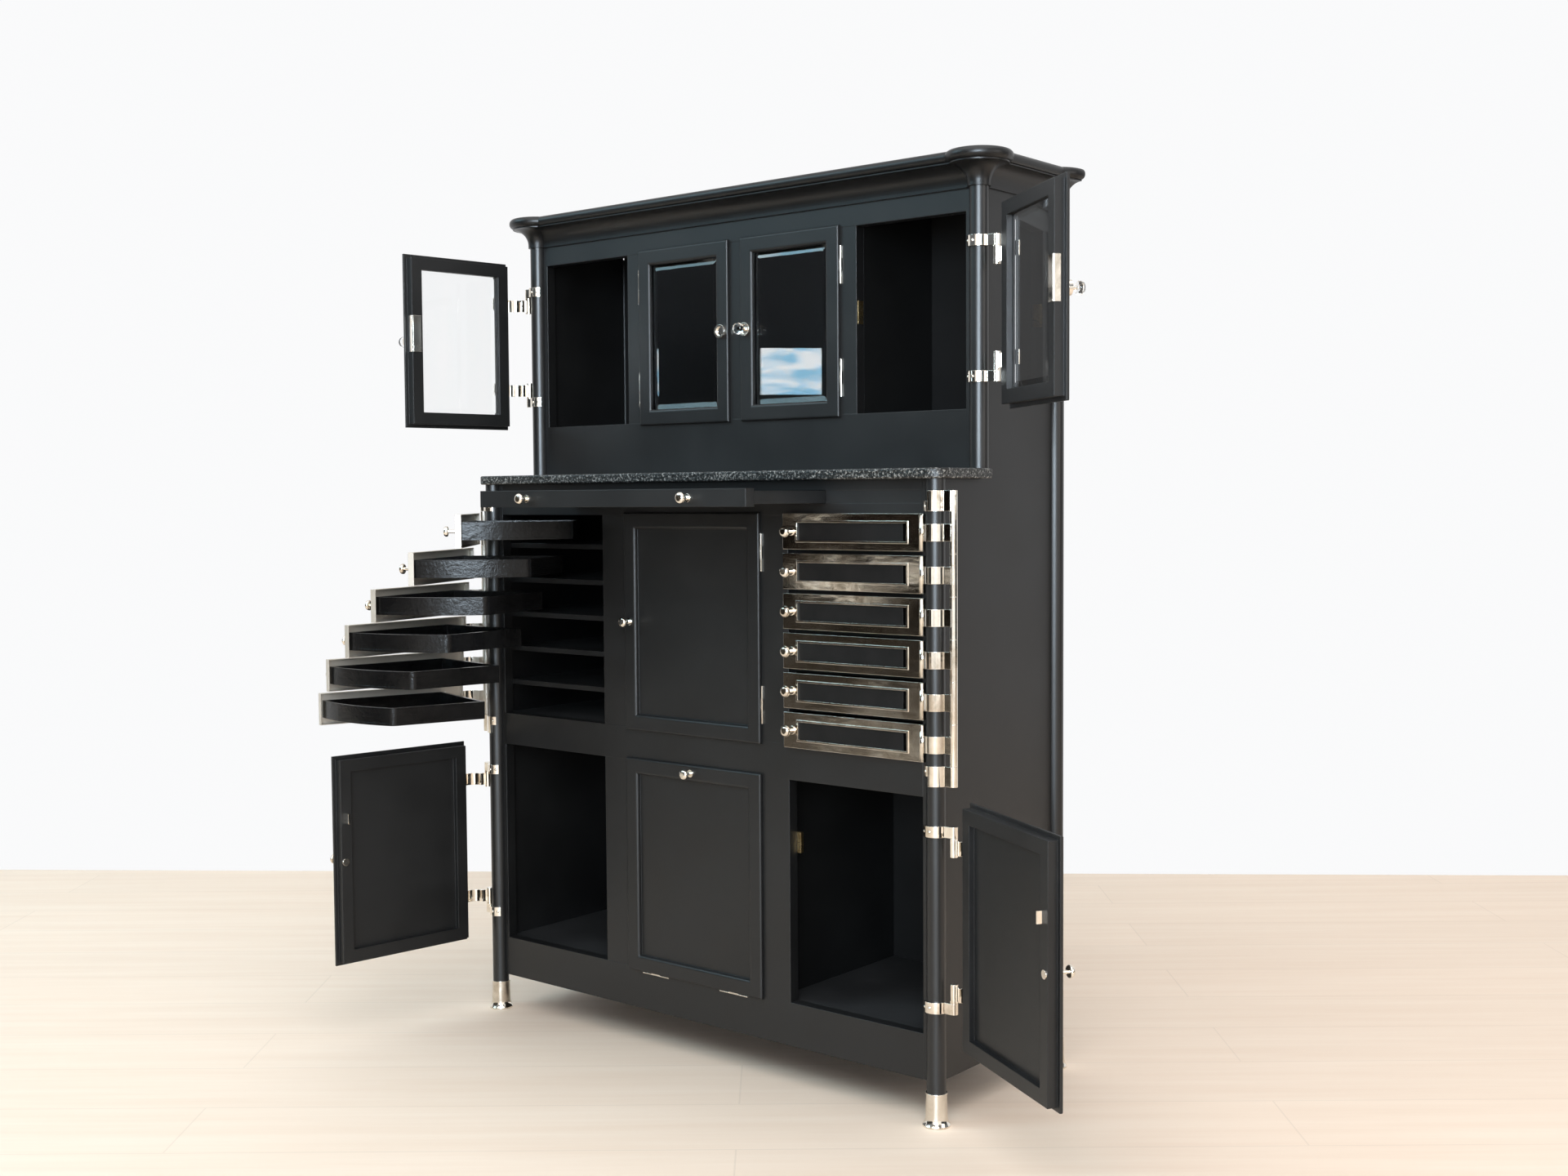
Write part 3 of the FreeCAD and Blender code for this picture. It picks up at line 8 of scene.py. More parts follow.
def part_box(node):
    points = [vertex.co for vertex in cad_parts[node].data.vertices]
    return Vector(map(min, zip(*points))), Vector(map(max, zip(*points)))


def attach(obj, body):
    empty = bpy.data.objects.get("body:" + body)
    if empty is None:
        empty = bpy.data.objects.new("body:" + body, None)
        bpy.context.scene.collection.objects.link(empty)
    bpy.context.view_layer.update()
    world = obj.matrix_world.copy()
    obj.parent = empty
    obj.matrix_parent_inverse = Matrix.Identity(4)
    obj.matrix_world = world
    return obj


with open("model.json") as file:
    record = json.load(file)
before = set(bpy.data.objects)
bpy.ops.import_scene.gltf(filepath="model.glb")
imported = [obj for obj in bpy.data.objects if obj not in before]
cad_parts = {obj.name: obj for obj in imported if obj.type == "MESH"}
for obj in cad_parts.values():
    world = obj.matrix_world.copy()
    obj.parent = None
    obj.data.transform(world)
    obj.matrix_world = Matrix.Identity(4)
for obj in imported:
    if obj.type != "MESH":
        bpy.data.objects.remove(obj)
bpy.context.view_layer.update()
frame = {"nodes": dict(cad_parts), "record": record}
nodes = frame["nodes"]
record = frame["record"]
scene = bpy.context.scene
scene.view_settings.view_transform = "Standard"

# The middle of the four feet, from which the camera and the lights are placed.
feet_low, feet_high = (Vector(corner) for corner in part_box("post_feet"))
CASE_CENTRE = Vector(((feet_low.x + feet_high.x) / 2, (feet_low.y + feet_high.y) / 2, 0.0))

# Camera: the photo's place and angle, in metres and radians.
CAMERA_PLACE = CASE_CENTRE + Vector((1.96979, -2.32521, 0.96531))
CAMERA_YAW = 0.68779
CAMERA_PITCH = 0.05273
CAMERA_ROLL = -0.00666
CAMERA_LENS = 39.441
SENSOR_WIDTH = 36.0
CLIP_NEAR = 0.05
CLIP_FAR = 100.0
PHOTO_WIDTH = 1920
PHOTO_HEIGHT = 1440

view_level = Vector((-math.sin(CAMERA_YAW), math.cos(CAMERA_YAW), 0.0))
across = Vector((math.cos(CAMERA_YAW), math.sin(CAMERA_YAW), 0.0))
forward = view_level * math.cos(CAMERA_PITCH) - Vector((0.0, 0.0, math.sin(CAMERA_PITCH)))
upward = across.cross(forward)
camera_right = across * math.cos(CAMERA_ROLL) + upward * math.sin(CAMERA_ROLL)
camera_up = upward * math.cos(CAMERA_ROLL) - across * math.sin(CAMERA_ROLL)


def make_camera():
    data = bpy.data.cameras.new("camera")
    data.sensor_fit = "HORIZONTAL"
    data.sensor_width = SENSOR_WIDTH
    data.lens = CAMERA_LENS
    data.clip_start = CLIP_NEAR
    data.clip_end = CLIP_FAR
    camera = bpy.data.objects.new("camera", data)
    scene.collection.objects.link(camera)
    basis = Matrix((camera_right, camera_up, -forward)).transposed().to_4x4()
    camera.matrix_world = Matrix.Translation(CAMERA_PLACE) @ basis
    scene.camera = camera


def sight_line(pixel):
    """Direction in which the camera sees a pixel of the photo's frame."""
    focal = CAMERA_LENS / SENSOR_WIDTH * PHOTO_WIDTH
    return (forward + camera_right * ((pixel[0] - PHOTO_WIDTH / 2) / focal)
            + camera_up * ((PHOTO_HEIGHT / 2 - pixel[1]) / focal))


def on_floor(pixel):
    line = sight_line(pixel)
    return CAMERA_PLACE - line * (CAMERA_PLACE.z / line.z)


# The rolled hinge end of each tray front, in metres from its pivot when the tray is shut.
ROLL_FROM_PIVOT = 0.0470
ROLL_FRONT = -0.0125
ROLL_WIDTH = 0.0064
ROLL_PROUD = 0.0016
ROLL_HALF_HEIGHT = 0.0277
ROLL_STEPS = 12

# Soft edges: the samples of the rounded normal, and how far it agrees with the face on an edge and off it.
EDGE_SAMPLES = 4
EDGE_AGREES = (0.80, 0.995)


def fill_ramp(node, stops):
    """Gives a colour ramp its (place, colour) stops."""
    ramp = node.color_ramp
    while len(ramp.elements) < len(stops):
        ramp.elements.new(0.5)
    for element, (place, colour) in zip(ramp.elements, stops):
        element.position = place
        element.color = (*colour, 1.0)


class Look:
    """A procedural material built node by node around one shader."""

    def __init__(self, name):
        self.material = bpy.data.materials.new(name)
        self.material.use_nodes = True
        self.tree = self.material.node_tree
        self.tree.nodes.clear()
        self.out = self.tree.nodes.new("ShaderNodeOutputMaterial")
        self.shader = self.tree.nodes.new("ShaderNodeBsdfPrincipled")
        self.link(self.shader.outputs["BSDF"], self.out.inputs["Surface"])
        self.place = self.tree.nodes.new("ShaderNodeTexCoord").outputs["Object"]

    def link(self, source, target):
        self.tree.links.new(source, target)

    def set(self, **values):
        """Plain numbers and colours on the shader's own sockets."""
        for name, value in values.items():
            self.shader.inputs[name.replace("_", " ")].default_value = value

    def to(self, socket, source):
        self.link(source, self.shader.inputs[socket])

    def mapped(self, scale, turn=0.0):
        """The place, turned about the upright and then scaled."""
        node = self.tree.nodes.new("ShaderNodeMapping")
        node.inputs["Scale"].default_value = scale
        source = self.place
        if turn:
            spin = self.tree.nodes.new("ShaderNodeMapping")
            spin.inputs["Rotation"].default_value = (0.0, 0.0, turn)
            self.link(source, spin.inputs["Vector"])
            source = spin.outputs["Vector"]
        self.link(source, node.inputs["Vector"])
        return node.outputs["Vector"]

    def noise(self, scale, detail=3.0, rough=0.55, vector=None, distort=0.0):
        node = self.tree.nodes.new("ShaderNodeTexNoise")
        node.inputs["Scale"].default_value = scale
        node.inputs["Detail"].default_value = detail
        node.inputs["Roughness"].default_value = rough
        node.inputs["Distortion"].default_value = distort
        self.link(vector or self.place, node.inputs["Vector"])
        return node.outputs["Fac"]

    def cells(self, scale, feature):
        node = self.tree.nodes.new("ShaderNodeTexVoronoi")
        node.feature = feature
        node.inputs["Scale"].default_value = scale
        self.link(self.place, node.inputs["Vector"])
        return node.outputs["Distance"]

    def spread(self, source, low, high, from_low=0.3, from_high=0.7):
        """A value stretched from one range to another; the first range is a noise's usual one."""
        node = self.tree.nodes.new("ShaderNodeMapRange")
        node.inputs["From Min"].default_value = from_low
        node.inputs["From Max"].default_value = from_high
        node.inputs["To Min"].default_value = low
        node.inputs["To Max"].default_value = high
        self.link(source, node.inputs["Value"])
        return node.outputs["Result"]

    def tint(self, source, *stops):
        """A colour ramp with (place, colour) stops."""
        node = self.tree.nodes.new("ShaderNodeValToRGB")
        fill_ramp(node, stops)
        self.link(source, node.inputs["Fac"])
        return node.outputs["Color"]

    def mix(self, factor, first, second):
        """Two colours mixed by a factor socket."""
        node = self.tree.nodes.new("ShaderNodeMix")
        node.data_type = "RGBA"
        self.link(factor, node.inputs["Factor"])
        for socket, value in (("A", first), ("B", second)):
            target = [s for s in node.inputs if s.name == socket and s.type == "RGBA"][0]
            if isinstance(value, tuple):
                target.default_value = (*value, 1.0)
            else:
                self.link(value, target)
        return [s for s in node.outputs if s.type == "RGBA"][0]

    def math(self, operation, first, second):
        node = self.tree.nodes.new("ShaderNodeMath")
        node.operation = operation
        for socket, value in zip(node.inputs, (first, second)):
            if isinstance(value, (int, float)):
                socket.default_value = value
            else:
                self.link(value, socket)
        return node.outputs["Value"]

    def soft_edge(self, radius):
        """Normals that roll over the edges, and a mask that is 1 on them."""
        bevel = self.tree.nodes.new("ShaderNodeBevel")
        bevel.samples = EDGE_SAMPLES
        bevel.inputs["Radius"].default_value = radius
        flat = self.tree.nodes.new("ShaderNodeNewGeometry")
        dot = self.tree.nodes.new("ShaderNodeVectorMath")
        dot.operation = "DOT_PRODUCT"
        self.link(bevel.outputs["Normal"], dot.inputs[0])
        self.link(flat.outputs["Normal"], dot.inputs[1])
        mask = self.spread(dot.outputs["Value"], 1.0, 0.0, *EDGE_AGREES)
        return bevel.outputs["Normal"], mask

    def level(self, low, high):
        """0 at one height and 1 at another."""
        split = self.tree.nodes.new("ShaderNodeSeparateXYZ")
        self.link(self.place, split.inputs["Vector"])
        return self.spread(split.outputs["Z"], 0.0, 1.0, low, high)

    def along(self, source, direction, low, high):
        """0 to 1 as a vector reaches further in a direction."""
        dot = self.tree.nodes.new("ShaderNodeVectorMath")
        dot.operation = "DOT_PRODUCT"
        dot.inputs[1].default_value = direction
        self.link(source, dot.inputs[0])
        return self.spread(dot.outputs["Value"], 0.0, 1.0, low, high)

    def facing(self, turn, low, high):
        """1 on faces that look away from the front of a tray standing open by a turn, 0 on its front."""
        normal = self.tree.nodes.new("ShaderNodeTexCoord").outputs["Normal"]
        return self.along(normal, (math.sin(turn), math.cos(turn), 0.0), low, high)

    def bump(self, height, strength, distance, normal=None):
        node = self.tree.nodes.new("ShaderNodeBump")
        node.inputs["Strength"].default_value = strength
        node.inputs["Distance"].default_value = distance
        self.link(height, node.inputs["Height"])
        if normal is not None:
            self.link(normal, node.inputs["Normal"])
        return node.outputs["Normal"]

    def glow(self, colour, strength):
        """An emission instead of the shader, for a card that is mirrored but isn't seen through glass."""
        node = self.tree.nodes.new("ShaderNodeEmission")
        self.link(colour, node.inputs["Color"])
        node.inputs["Strength"].default_value = strength
        path = self.tree.nodes.new("ShaderNodeLightPath")
        unmirrored = self.math("LESS_THAN", path.outputs["Glossy Depth"], 0.5)
        straight = self.math("MULTIPLY", path.outputs["Is Transmission Ray"], unmirrored)
        blend = self.tree.nodes.new("ShaderNodeMixShader")
        self.link(straight, blend.inputs["Fac"])
        self.link(node.outputs["Emission"], blend.inputs[1])
        self.link(self.tree.nodes.new("ShaderNodeBsdfTransparent").outputs["BSDF"], blend.inputs[2])
        self.link(blend.outputs["Shader"], self.out.inputs["Surface"])


# Paint: its darker and lighter clouds, and its worn edges.
PAINT_DARK = (0.0085, 0.0091, 0.0100)
PAINT_LIGHT = (0.0122, 0.0128, 0.0137)
PAINT_WORN = (0.060, 0.060, 0.059)

# Tray lacquer: its clouds and worn edges, the brush marks' scale, and the roughness where it is satin.
LACQUER_DARK = (0.0050, 0.0052, 0.0058)
LACQUER_LIGHT = (0.0110, 0.0112, 0.0118)
LACQUER_WORN = (0.09, 0.088, 0.085)
BRUSH_SCALE = (16.0, 210.0, 210.0)
SATIN = 0.46

# Worktop: the ground, its grains, the bright specks and the worn edge.
TOP_GROUND = (0.003, 0.004, 0.004)
TOP_GRAIN = (0.012, 0.014, 0.015)
TOP_SPECK = (0.36, 0.37, 0.365)
TOP_WORN = (0.20, 0.20, 0.195)

# Nickel: tarnished, usual and bright plating, pits, a painted highlight on the edges, and the dull backs
# of the open tray fronts.
NICKEL_TARNISHED = (0.60, 0.53, 0.44)
NICKEL_USUAL = (0.80, 0.74, 0.65)
NICKEL_BRIGHT = (0.86, 0.82, 0.75)
NICKEL_PIT = (0.30, 0.25, 0.20)
# Pale colour mixed onto the nickel's edges: a painted highlight.
NICKEL_EDGE_HIGHLIGHT = (0.96, 0.90, 0.81)
NICKEL_DULL = (0.62, 0.58, 0.52)
SHEET_WAVES = (14.0, 14.0, 40.0)

# How far ahead of its sheet a tray front is fully polished, as on its knob, and where that begins.
KNOB_AHEAD = 0.003
KNOB_START = 0.002

BRASS_DARK = (0.30, 0.20, 0.085)
BRASS_LIGHT = (0.66, 0.50, 0.26)
GLASS_SMEARED = (0.975, 0.99, 0.99)
GLASS_CLEAN = (1.0, 1.0, 1.0)
SMEAR_SCALE = (24.0, 24.0, 9.0)


def black_paint(name, smooth, rough, tone=1.0, edges=True, shine=1.45, peeled=0.05):
    """Satin black paint with a faint orange peel; flat boards are a little worn along their edges."""
    look = Look(name)
    clouds = look.noise(7.0, detail=4.0)
    peel = look.noise(480.0, detail=2.0)
    dark, light = (tuple(tone * value for value in colour) for colour in (PAINT_DARK, PAINT_LIGHT))
    ground = look.tint(clouds, (0.30, dark), (0.70, light))
    normal = None
    if edges:
        normal, edge = look.soft_edge(radius=0.0018)
        chips = look.noise(60.0, detail=4.0, rough=0.7)
        worn = look.math("MULTIPLY", edge, look.spread(chips, 0.0, 0.3, 0.48, 0.72))
        ground = look.mix(worn, ground, PAINT_WORN)
    look.to("Base Color", ground)
    look.to("Roughness", look.spread(clouds, smooth, rough))
    look.to("Normal", look.bump(peel, strength=peeled, distance=0.0002, normal=normal))
    look.set(IOR=shine)
    return look.material


def tray_lacquer(name, turn):
    """Gloss black lacquer with brush marks along the tray, satin behind the front's window."""
    look = Look(name)
    strokes = look.noise(1.0, detail=5.0, rough=0.65, vector=look.mapped(BRUSH_SCALE, turn))
    dabs = look.noise(70.0, detail=3.0, rough=0.6, distort=0.6)
    clouds = look.noise(22.0, detail=3.0)
    normal, edge = look.soft_edge(radius=0.0012)
    ground = look.tint(clouds, (0.30, LACQUER_DARK), (0.72, LACQUER_LIGHT))
    chips = look.noise(110.0, detail=4.0, rough=0.7)
    worn = look.math("MULTIPLY", edge, look.spread(chips, 0.0, 0.30, 0.45, 0.7))
    look.to("Base Color", look.mix(worn, ground, LACQUER_WORN))
    brushed = look.facing(turn, -0.9, -0.8)
    gloss = look.math("MULTIPLY", brushed, look.spread(strokes, -0.36, -0.22))
    look.to("Roughness", look.math("ADD", gloss, SATIN))
    dabbed = look.math("MULTIPLY", brushed, dabs)
    first = look.bump(dabbed, strength=0.25, distance=0.0020, normal=normal)
    stroked = look.math("MULTIPLY", brushed, strokes)
    look.to("Normal", look.bump(stroked, strength=0.40, distance=0.0010, normal=first))
    look.set(IOR=1.30)
    return look.material


def pebbled_top():
    """Black pebbled coating with small bright specks."""
    look = Look("pebbled_top_black")
    grains = look.noise(240.0, detail=4.0, rough=0.75)
    pebbles = look.cells(260.0, "SMOOTH_F1")
    normal, edge = look.soft_edge(radius=0.0012)
    specks = look.tint(grains, (0.46, TOP_GROUND), (0.54, TOP_GRAIN), (0.61, TOP_SPECK))
    chips = look.noise(160.0, detail=3.0, rough=0.7)
    worn = look.math("MULTIPLY", edge, look.spread(chips, 0.0, 0.55, 0.45, 0.65))
    look.to("Base Color", look.mix(worn, specks, TOP_WORN))
    look.to("Roughness", look.spread(grains, 0.30, 0.50))
    first = look.bump(pebbles, strength=0.60, distance=0.0016, normal=normal)
    look.to("Normal", look.bump(grains, strength=0.50, distance=0.0008, normal=first))
    look.set(IOR=1.5)
    return look.material


def nickel(name, turn=0.0, pivot=None):
    """Polished nickel plating with thin tarnish, fine pits and a slightly uneven sheet.

    With a turn, the sides of a tray front that face its tray are left dull.
    """
    look = Look(name)
    patches = look.noise(26.0, detail=4.0, rough=0.6, distort=0.5)
    pits = look.noise(520.0, detail=3.0, rough=0.7)
    waves = look.noise(1.0, detail=2.0, rough=0.5, vector=look.mapped(SHEET_WAVES))
    normal, edge = look.soft_edge(radius=0.0008)
    ground = look.tint(patches, (0.34, NICKEL_TARNISHED), (0.50, NICKEL_USUAL), (0.66, NICKEL_BRIGHT))
    ground = look.mix(look.spread(pits, 0.0, 0.5, 0.62, 0.74), ground, NICKEL_PIT)
    # Painted highlight: the edges are mixed towards a pale colour.
    ground = look.mix(look.math("MULTIPLY", edge, 0.7), ground, NICKEL_EDGE_HIGHLIGHT)
    rough = look.spread(patches, 0.10, 0.04)
    if turn:
        ahead = Vector((-math.sin(turn), -math.cos(turn), 0.0))
        sheet = ahead.dot(Vector(pivot)) - ROLL_FRONT
        behind = look.along(look.place, -ahead, -sheet - KNOB_AHEAD, -sheet - KNOB_START)
        dull = look.math("MULTIPLY", look.facing(turn, -0.45, -0.25), behind)
        ground = look.mix(dull, ground, NICKEL_DULL)
        rough = look.math("ADD", rough, look.math("MULTIPLY", dull, 0.40))
        look.to("Metallic", look.spread(dull, 1.0, 0.45, 0.0, 1.0))
    else:
        look.set(Metallic=1.0)
    look.to("Base Color", ground)
    look.to("Roughness", rough)
    first = look.bump(waves, strength=0.05, distance=0.0040, normal=normal)
    look.to("Normal", look.bump(pits, strength=0.04, distance=0.0003, normal=first))
    return look.material


def brass():
    """Dull brass with darker tarnish."""
    look = Look("brass_dull")
    clouds = look.noise(120.0, detail=4.0, rough=0.6)
    normal, _ = look.soft_edge(radius=0.0005)
    look.to("Base Color", look.tint(clouds, (0.35, BRASS_DARK), (0.65, BRASS_LIGHT)))
    look.to("Roughness", look.spread(clouds, 0.40, 0.22))
    scratches = look.noise(600.0, detail=2.0)
    look.to("Normal", look.bump(scratches, strength=0.10, distance=0.0003, normal=normal))
    look.set(Metallic=1.0)
    return look.material


def glass():
    """Clear glass with faint smears."""
    look = Look("glass_clear")
    smears = look.noise(1.0, detail=3.0, rough=0.6, vector=look.mapped(SMEAR_SCALE))
    look.to("Roughness", look.spread(smears, 0.0, 0.010, 0.45, 0.75))
    look.to("Base Color", look.tint(smears, (0.3, GLASS_SMEARED), (0.7, GLASS_CLEAN)))
    look.set(Transmission_Weight=1.0, IOR=1.46)
    return look.material


# Looks of the nodes by the record's slots.
LOOKS = {
    "black_paint": black_paint("black_paint_satin", 0.36, 0.46),
    "pebbled_top": pebbled_top(),
    "nickel": nickel("nickel_polished"),
    "brass": brass(),
    "glass": glass(),
    "tray_lacquer": tray_lacquer("tray_lacquer_straight", 0.0),
}

# Looks of single nodes. Posts and cornice have a little more gloss than the boards. The floors inside are
# painted paler as painted light, and the partitions and the back are painted darker as painted shade and
# are duller.
OTHER_LOOKS = {
    "corner_posts": black_paint("black_paint_posts", 0.34, 0.38, edges=False, shine=1.5, peeled=0.02),
    "cornice": black_paint("black_paint_cornice", 0.32, 0.38, edges=False, shine=1.38, peeled=0.02),
    # Painted light: the inside floors' paint is made 2.4 times paler.
    "carcass_boards": black_paint("black_paint_floors_painted_light", 0.42, 0.55, tone=2.4),
    # Painted shade: the partitions and the back are made darker, at 0.6 of the paint's colour.
    "partitions": black_paint("black_paint_partitions_painted_shade", 0.50, 0.62, tone=0.6, shine=1.3),
    "back_panel": black_paint("black_paint_back_painted_shade", 0.52, 0.64, tone=0.6, shine=1.3),
}


def tray_turns():
    """How far each tray stands open at rest, and its pivot, from its joint."""
    turns = {}
    for joint in record["behaviour"]["joints"]:
        if joint["child"].startswith("swing_"):
            turn = math.radians(-joint["range_deg"][0])
            turns[joint["child"][len("swing_"):]] = (turn, joint["pos_m"])
    return turns


TURNS = tray_turns()


def look_for(name, slot):
    kind, _, place = name.partition("_")
    if name in OTHER_LOOKS:
        return OTHER_LOOKS[name]
    turn, pivot = TURNS.get(place, (0.0, None))
    if kind == "tray" and turn:
        return tray_lacquer("tray_lacquer_" + place, turn)
    if kind == "front" and turn:
        return nickel("nickel_front_" + place, turn, pivot)
    return LOOKS[slot]


def dress_nodes():
    """Each node gets its slot's look; the looks of an open tray are turned with it."""
    for row in record["subparts"]:
        mesh = nodes[row["node"]].data
        mesh.materials.clear()
        mesh.materials.append(look_for(row["node"], row["material_slot"]))


def add_rolled_ends():
    """A thin half-round upright on the hinge end of each tray front."""
    for place, (turn, pivot) in TURNS.items():
        low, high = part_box("front_" + place)
        middle = (low.z + high.z) / 2
        side = 1.0 if place.startswith("left") else -1.0
        turned = Matrix.Rotation(-side * turn, 3, "Z")
        points = []
        for height in (middle - ROLL_HALF_HEIGHT, middle + ROLL_HALF_HEIGHT):
            for step in range(ROLL_STEPS + 1):
                angle = math.pi * step / ROLL_STEPS
                away = ROLL_FROM_PIVOT + ROLL_WIDTH / 2 * (1.0 + math.cos(angle))
                flat = turned @ Vector((side * away, ROLL_FRONT - ROLL_PROUD * math.sin(angle), 0.0))
                points.append((pivot[0] + flat.x, pivot[1] + flat.y, height))
        ring = ROLL_STEPS + 1
        faces = [(step, step + 1, ring + step + 1, ring + step) for step in range(ROLL_STEPS)]
        faces += [(ROLL_STEPS, 0, ring, ring + ROLL_STEPS)]
        faces += [tuple(range(ring - 1, -1, -1)), tuple(range(ring, 2 * ring))]
        if side < 0:
            faces = [face[::-1] for face in faces]
        mesh = bpy.data.meshes.new("rolled_end_" + place)
        mesh.from_pydata(points, [], faces)
        for face in mesh.polygons[:ROLL_STEPS]:
            face.use_smooth = True
        mesh.materials.append(LOOKS["nickel"])
        roll = bpy.data.objects.new("rolled_end_" + place, mesh)
        scene.collection.objects.link(roll)
        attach(roll, "swing_" + place)


# The room: a pale floor of planks and a white wall, whose foot is given in the photo's pixels.
WALL_FOOT = ((0, 1065), (1920, 1072))
WALL_HEIGHT = 6.0
WALL_STOPS = ((0.3, (0.86, 0.86, 0.86)), (0.7, (0.90, 0.90, 0.90)))
WHITE = (0.955, 0.958, 0.965)
ROOM_HALF = 9.0
FLOOR_NEAR = 11.4
FLOOR_FAR = 0.4
FLOOR_STOPS = ((0.28, (0.86, 0.715, 0.595)), (0.72, (0.92, 0.800, 0.690)))
GRAIN_SCALE = (1.4, 26.0, 1.0)
PLANK_SIZES = (("Scale", 1.0), ("Mortar Size", 0.0016), ("Brick Width", 1.7), ("Row Height", 0.19),
               ("Mortar Smooth", 0.3))
PLANK_TONES = (("Color1", 0.97), ("Color2", 1.0), ("Mortar", 0.90))


def staged(name, points, faces):
    """An object of the room, which isn't part of the cabinet."""
    mesh = bpy.data.meshes.new(name)
    mesh.from_pydata(points, [], faces)
    item = bpy.data.objects.new(name, mesh)
    scene.collection.objects.link(item)
    return item


def plane(name, corners):
    return staged(name, [tuple(corner) for corner in corners], [tuple(range(len(corners)))])


def bright_for_view(look, colour):
    """Lets camera, mirror and glass rays see a plain bright colour, and nothing from behind."""
    tree = look.tree
    path = tree.nodes.new("ShaderNodeLightPath")
    glow = tree.nodes.new("ShaderNodeEmission")
    glow.inputs["Color"].default_value = (*colour, 1.0)
    glow.inputs["Strength"].default_value = 1.0
    mirrored = look.math("MAXIMUM", path.outputs["Is Glossy Ray"], path.outputs["Is Transmission Ray"])
    seen = look.math("MAXIMUM", path.outputs["Is Camera Ray"], mirrored)
    blend = tree.nodes.new("ShaderNodeMixShader")
    look.link(seen, blend.inputs["Fac"])
    look.link(look.shader.outputs["BSDF"], blend.inputs[1])
    look.link(glow.outputs["Emission"], blend.inputs[2])
    open_back = tree.nodes.new("ShaderNodeMixShader")
    look.link(tree.nodes.new("ShaderNodeNewGeometry").outputs["Backfacing"], open_back.inputs["Fac"])
    look.link(blend.outputs["Shader"], open_back.inputs[1])
    look.link(tree.nodes.new("ShaderNodeBsdfTransparent").outputs["BSDF"], open_back.inputs[2])
    look.link(open_back.outputs["Shader"], look.out.inputs["Surface"])


def floor_look():
    """Pale boards with a fine grain and thin seams."""
    look = Look("floor_pale")
    grain = look.noise(1.0, detail=5.0, rough=0.62, vector=look.mapped(GRAIN_SCALE, -CAMERA_YAW))
    pale = look.tint(grain, *FLOOR_STOPS)
    planks = look.tree.nodes.new("ShaderNodeTexBrick")
    look.link(look.mapped((1.0, 1.0, 1.0), -CAMERA_YAW), planks.inputs["Vector"])
    for socket, value in PLANK_SIZES:
        planks.inputs[socket].default_value = value
    for socket, value in PLANK_TONES:
        planks.inputs[socket].default_value = (value, value, value, 1.0)
    blend = look.tree.nodes.new("ShaderNodeVectorMath")
    blend.operation = "MULTIPLY"
    look.link(pale, blend.inputs[0])
    look.link(planks.outputs["Color"], blend.inputs[1])
    look.to("Base Color", blend.outputs["Vector"])
    look.to("Roughness", look.spread(grain, 0.50, 0.65))
    look.set(IOR=1.35)
    return look.material


def wall_look():
    look = Look("wall_white")
    patches = look.noise(0.6, detail=1.0)
    look.to("Base Color", look.tint(patches, *WALL_STOPS))
    look.set(Roughness=0.9)
    bright_for_view(look, WHITE)
    return look.material


def make_room():
    left, right = (on_floor(pixel) for pixel in WALL_FOOT)
    along = (right - left).normalized()
    middle = (left + right) / 2
    outward = Vector((-along.y, along.x, 0.0))
    ends = [middle - along * ROOM_HALF, middle + along * ROOM_HALF]
    floor = plane("floor", [ends[1] + outward * FLOOR_FAR, ends[0] + outward * FLOOR_FAR,
                            ends[0] - outward * FLOOR_NEAR, ends[1] - outward * FLOOR_NEAR])
    floor.data.materials.append(floor_look())
    rise = Vector((0.0, 0.0, WALL_HEIGHT))
    wall = plane("wall", [ends[0], ends[1], ends[1] + rise, ends[0] + rise])
    wall.data.materials.append(wall_look())


# The bevel of the glass: four millimetres deep over sixteen.
BEVEL_SLOPE = 0.25

# Patches of sky, out of the camera's sight, that the inner doors' glass mirrors: the corners in the
# photo's pixels, the slope of the glass there towards the right and upwards, and the strength.
SKY_PATCHES = (((928, 426), (1003, 426), (1003, 483), (928, 483), (0.0, 0.0), 10.0),
               ((920, 294), (1010, 288), (1010, 322), (920, 328), (0.0, BEVEL_SLOPE), 6.0),
               ((792, 425), (815, 421), (815, 482), (792, 492), (-BEVEL_SLOPE, 0.0), 4.0))
SKY_DISTANCE = 5.0
SKY_STOPS = ((0.40, (0.30, 0.60, 0.82)), (0.58, (0.92, 0.97, 1.0)))
CLOUD_SCALE = (5.0, 5.0, 14.0)


def only_mirrored(card, look):
    """Leaves a card to be seen in reflections only."""
    card.data.materials.append(look.material)
    card.visible_camera = False
    card.visible_diffuse = False
    card.visible_shadow = False


def mirror_card(name, corners, look):
    only_mirrored(plane(name, corners), look)


def make_sky_cards():
    mirror_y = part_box("door_inner_right_frame")[0].y
    for number, (*pixels, slope, strength) in enumerate(SKY_PATCHES, 1):
        normal = Vector((slope[0], -1.0, slope[1])).normalized()
        corners = []
        for pixel in pixels:
            line = sight_line(pixel)
            spot = CAMERA_PLACE + line * ((mirror_y - CAMERA_PLACE.y) / line.y)
            ray = line.normalized()
            corners.append(spot + (ray - normal * (2 * ray.dot(normal))) * SKY_DISTANCE)
        patch = Look("sky_bright_" + str(number))
        clouds = patch.noise(1.0, detail=4.0, rough=0.6, vector=patch.mapped(CLOUD_SCALE), distort=0.5)
        patch.glow(patch.tint(clouds, *SKY_STOPS), strength)
        mirror_card("sky_" + str(number), corners, patch)


# The rest of the room as reflections show it: dim at eye level, paler towards the ceiling.
RING_RADIUS = 8.0
RING_HEIGHT = 6.5
RING_SIDES = 48
RING_STOPS = ((0.0, (0.060, 0.058, 0.055)), (0.28, (0.050, 0.058, 0.064)), (0.57, (0.28, 0.30, 0.33)),
              (1.0, (0.42, 0.44, 0.47)))


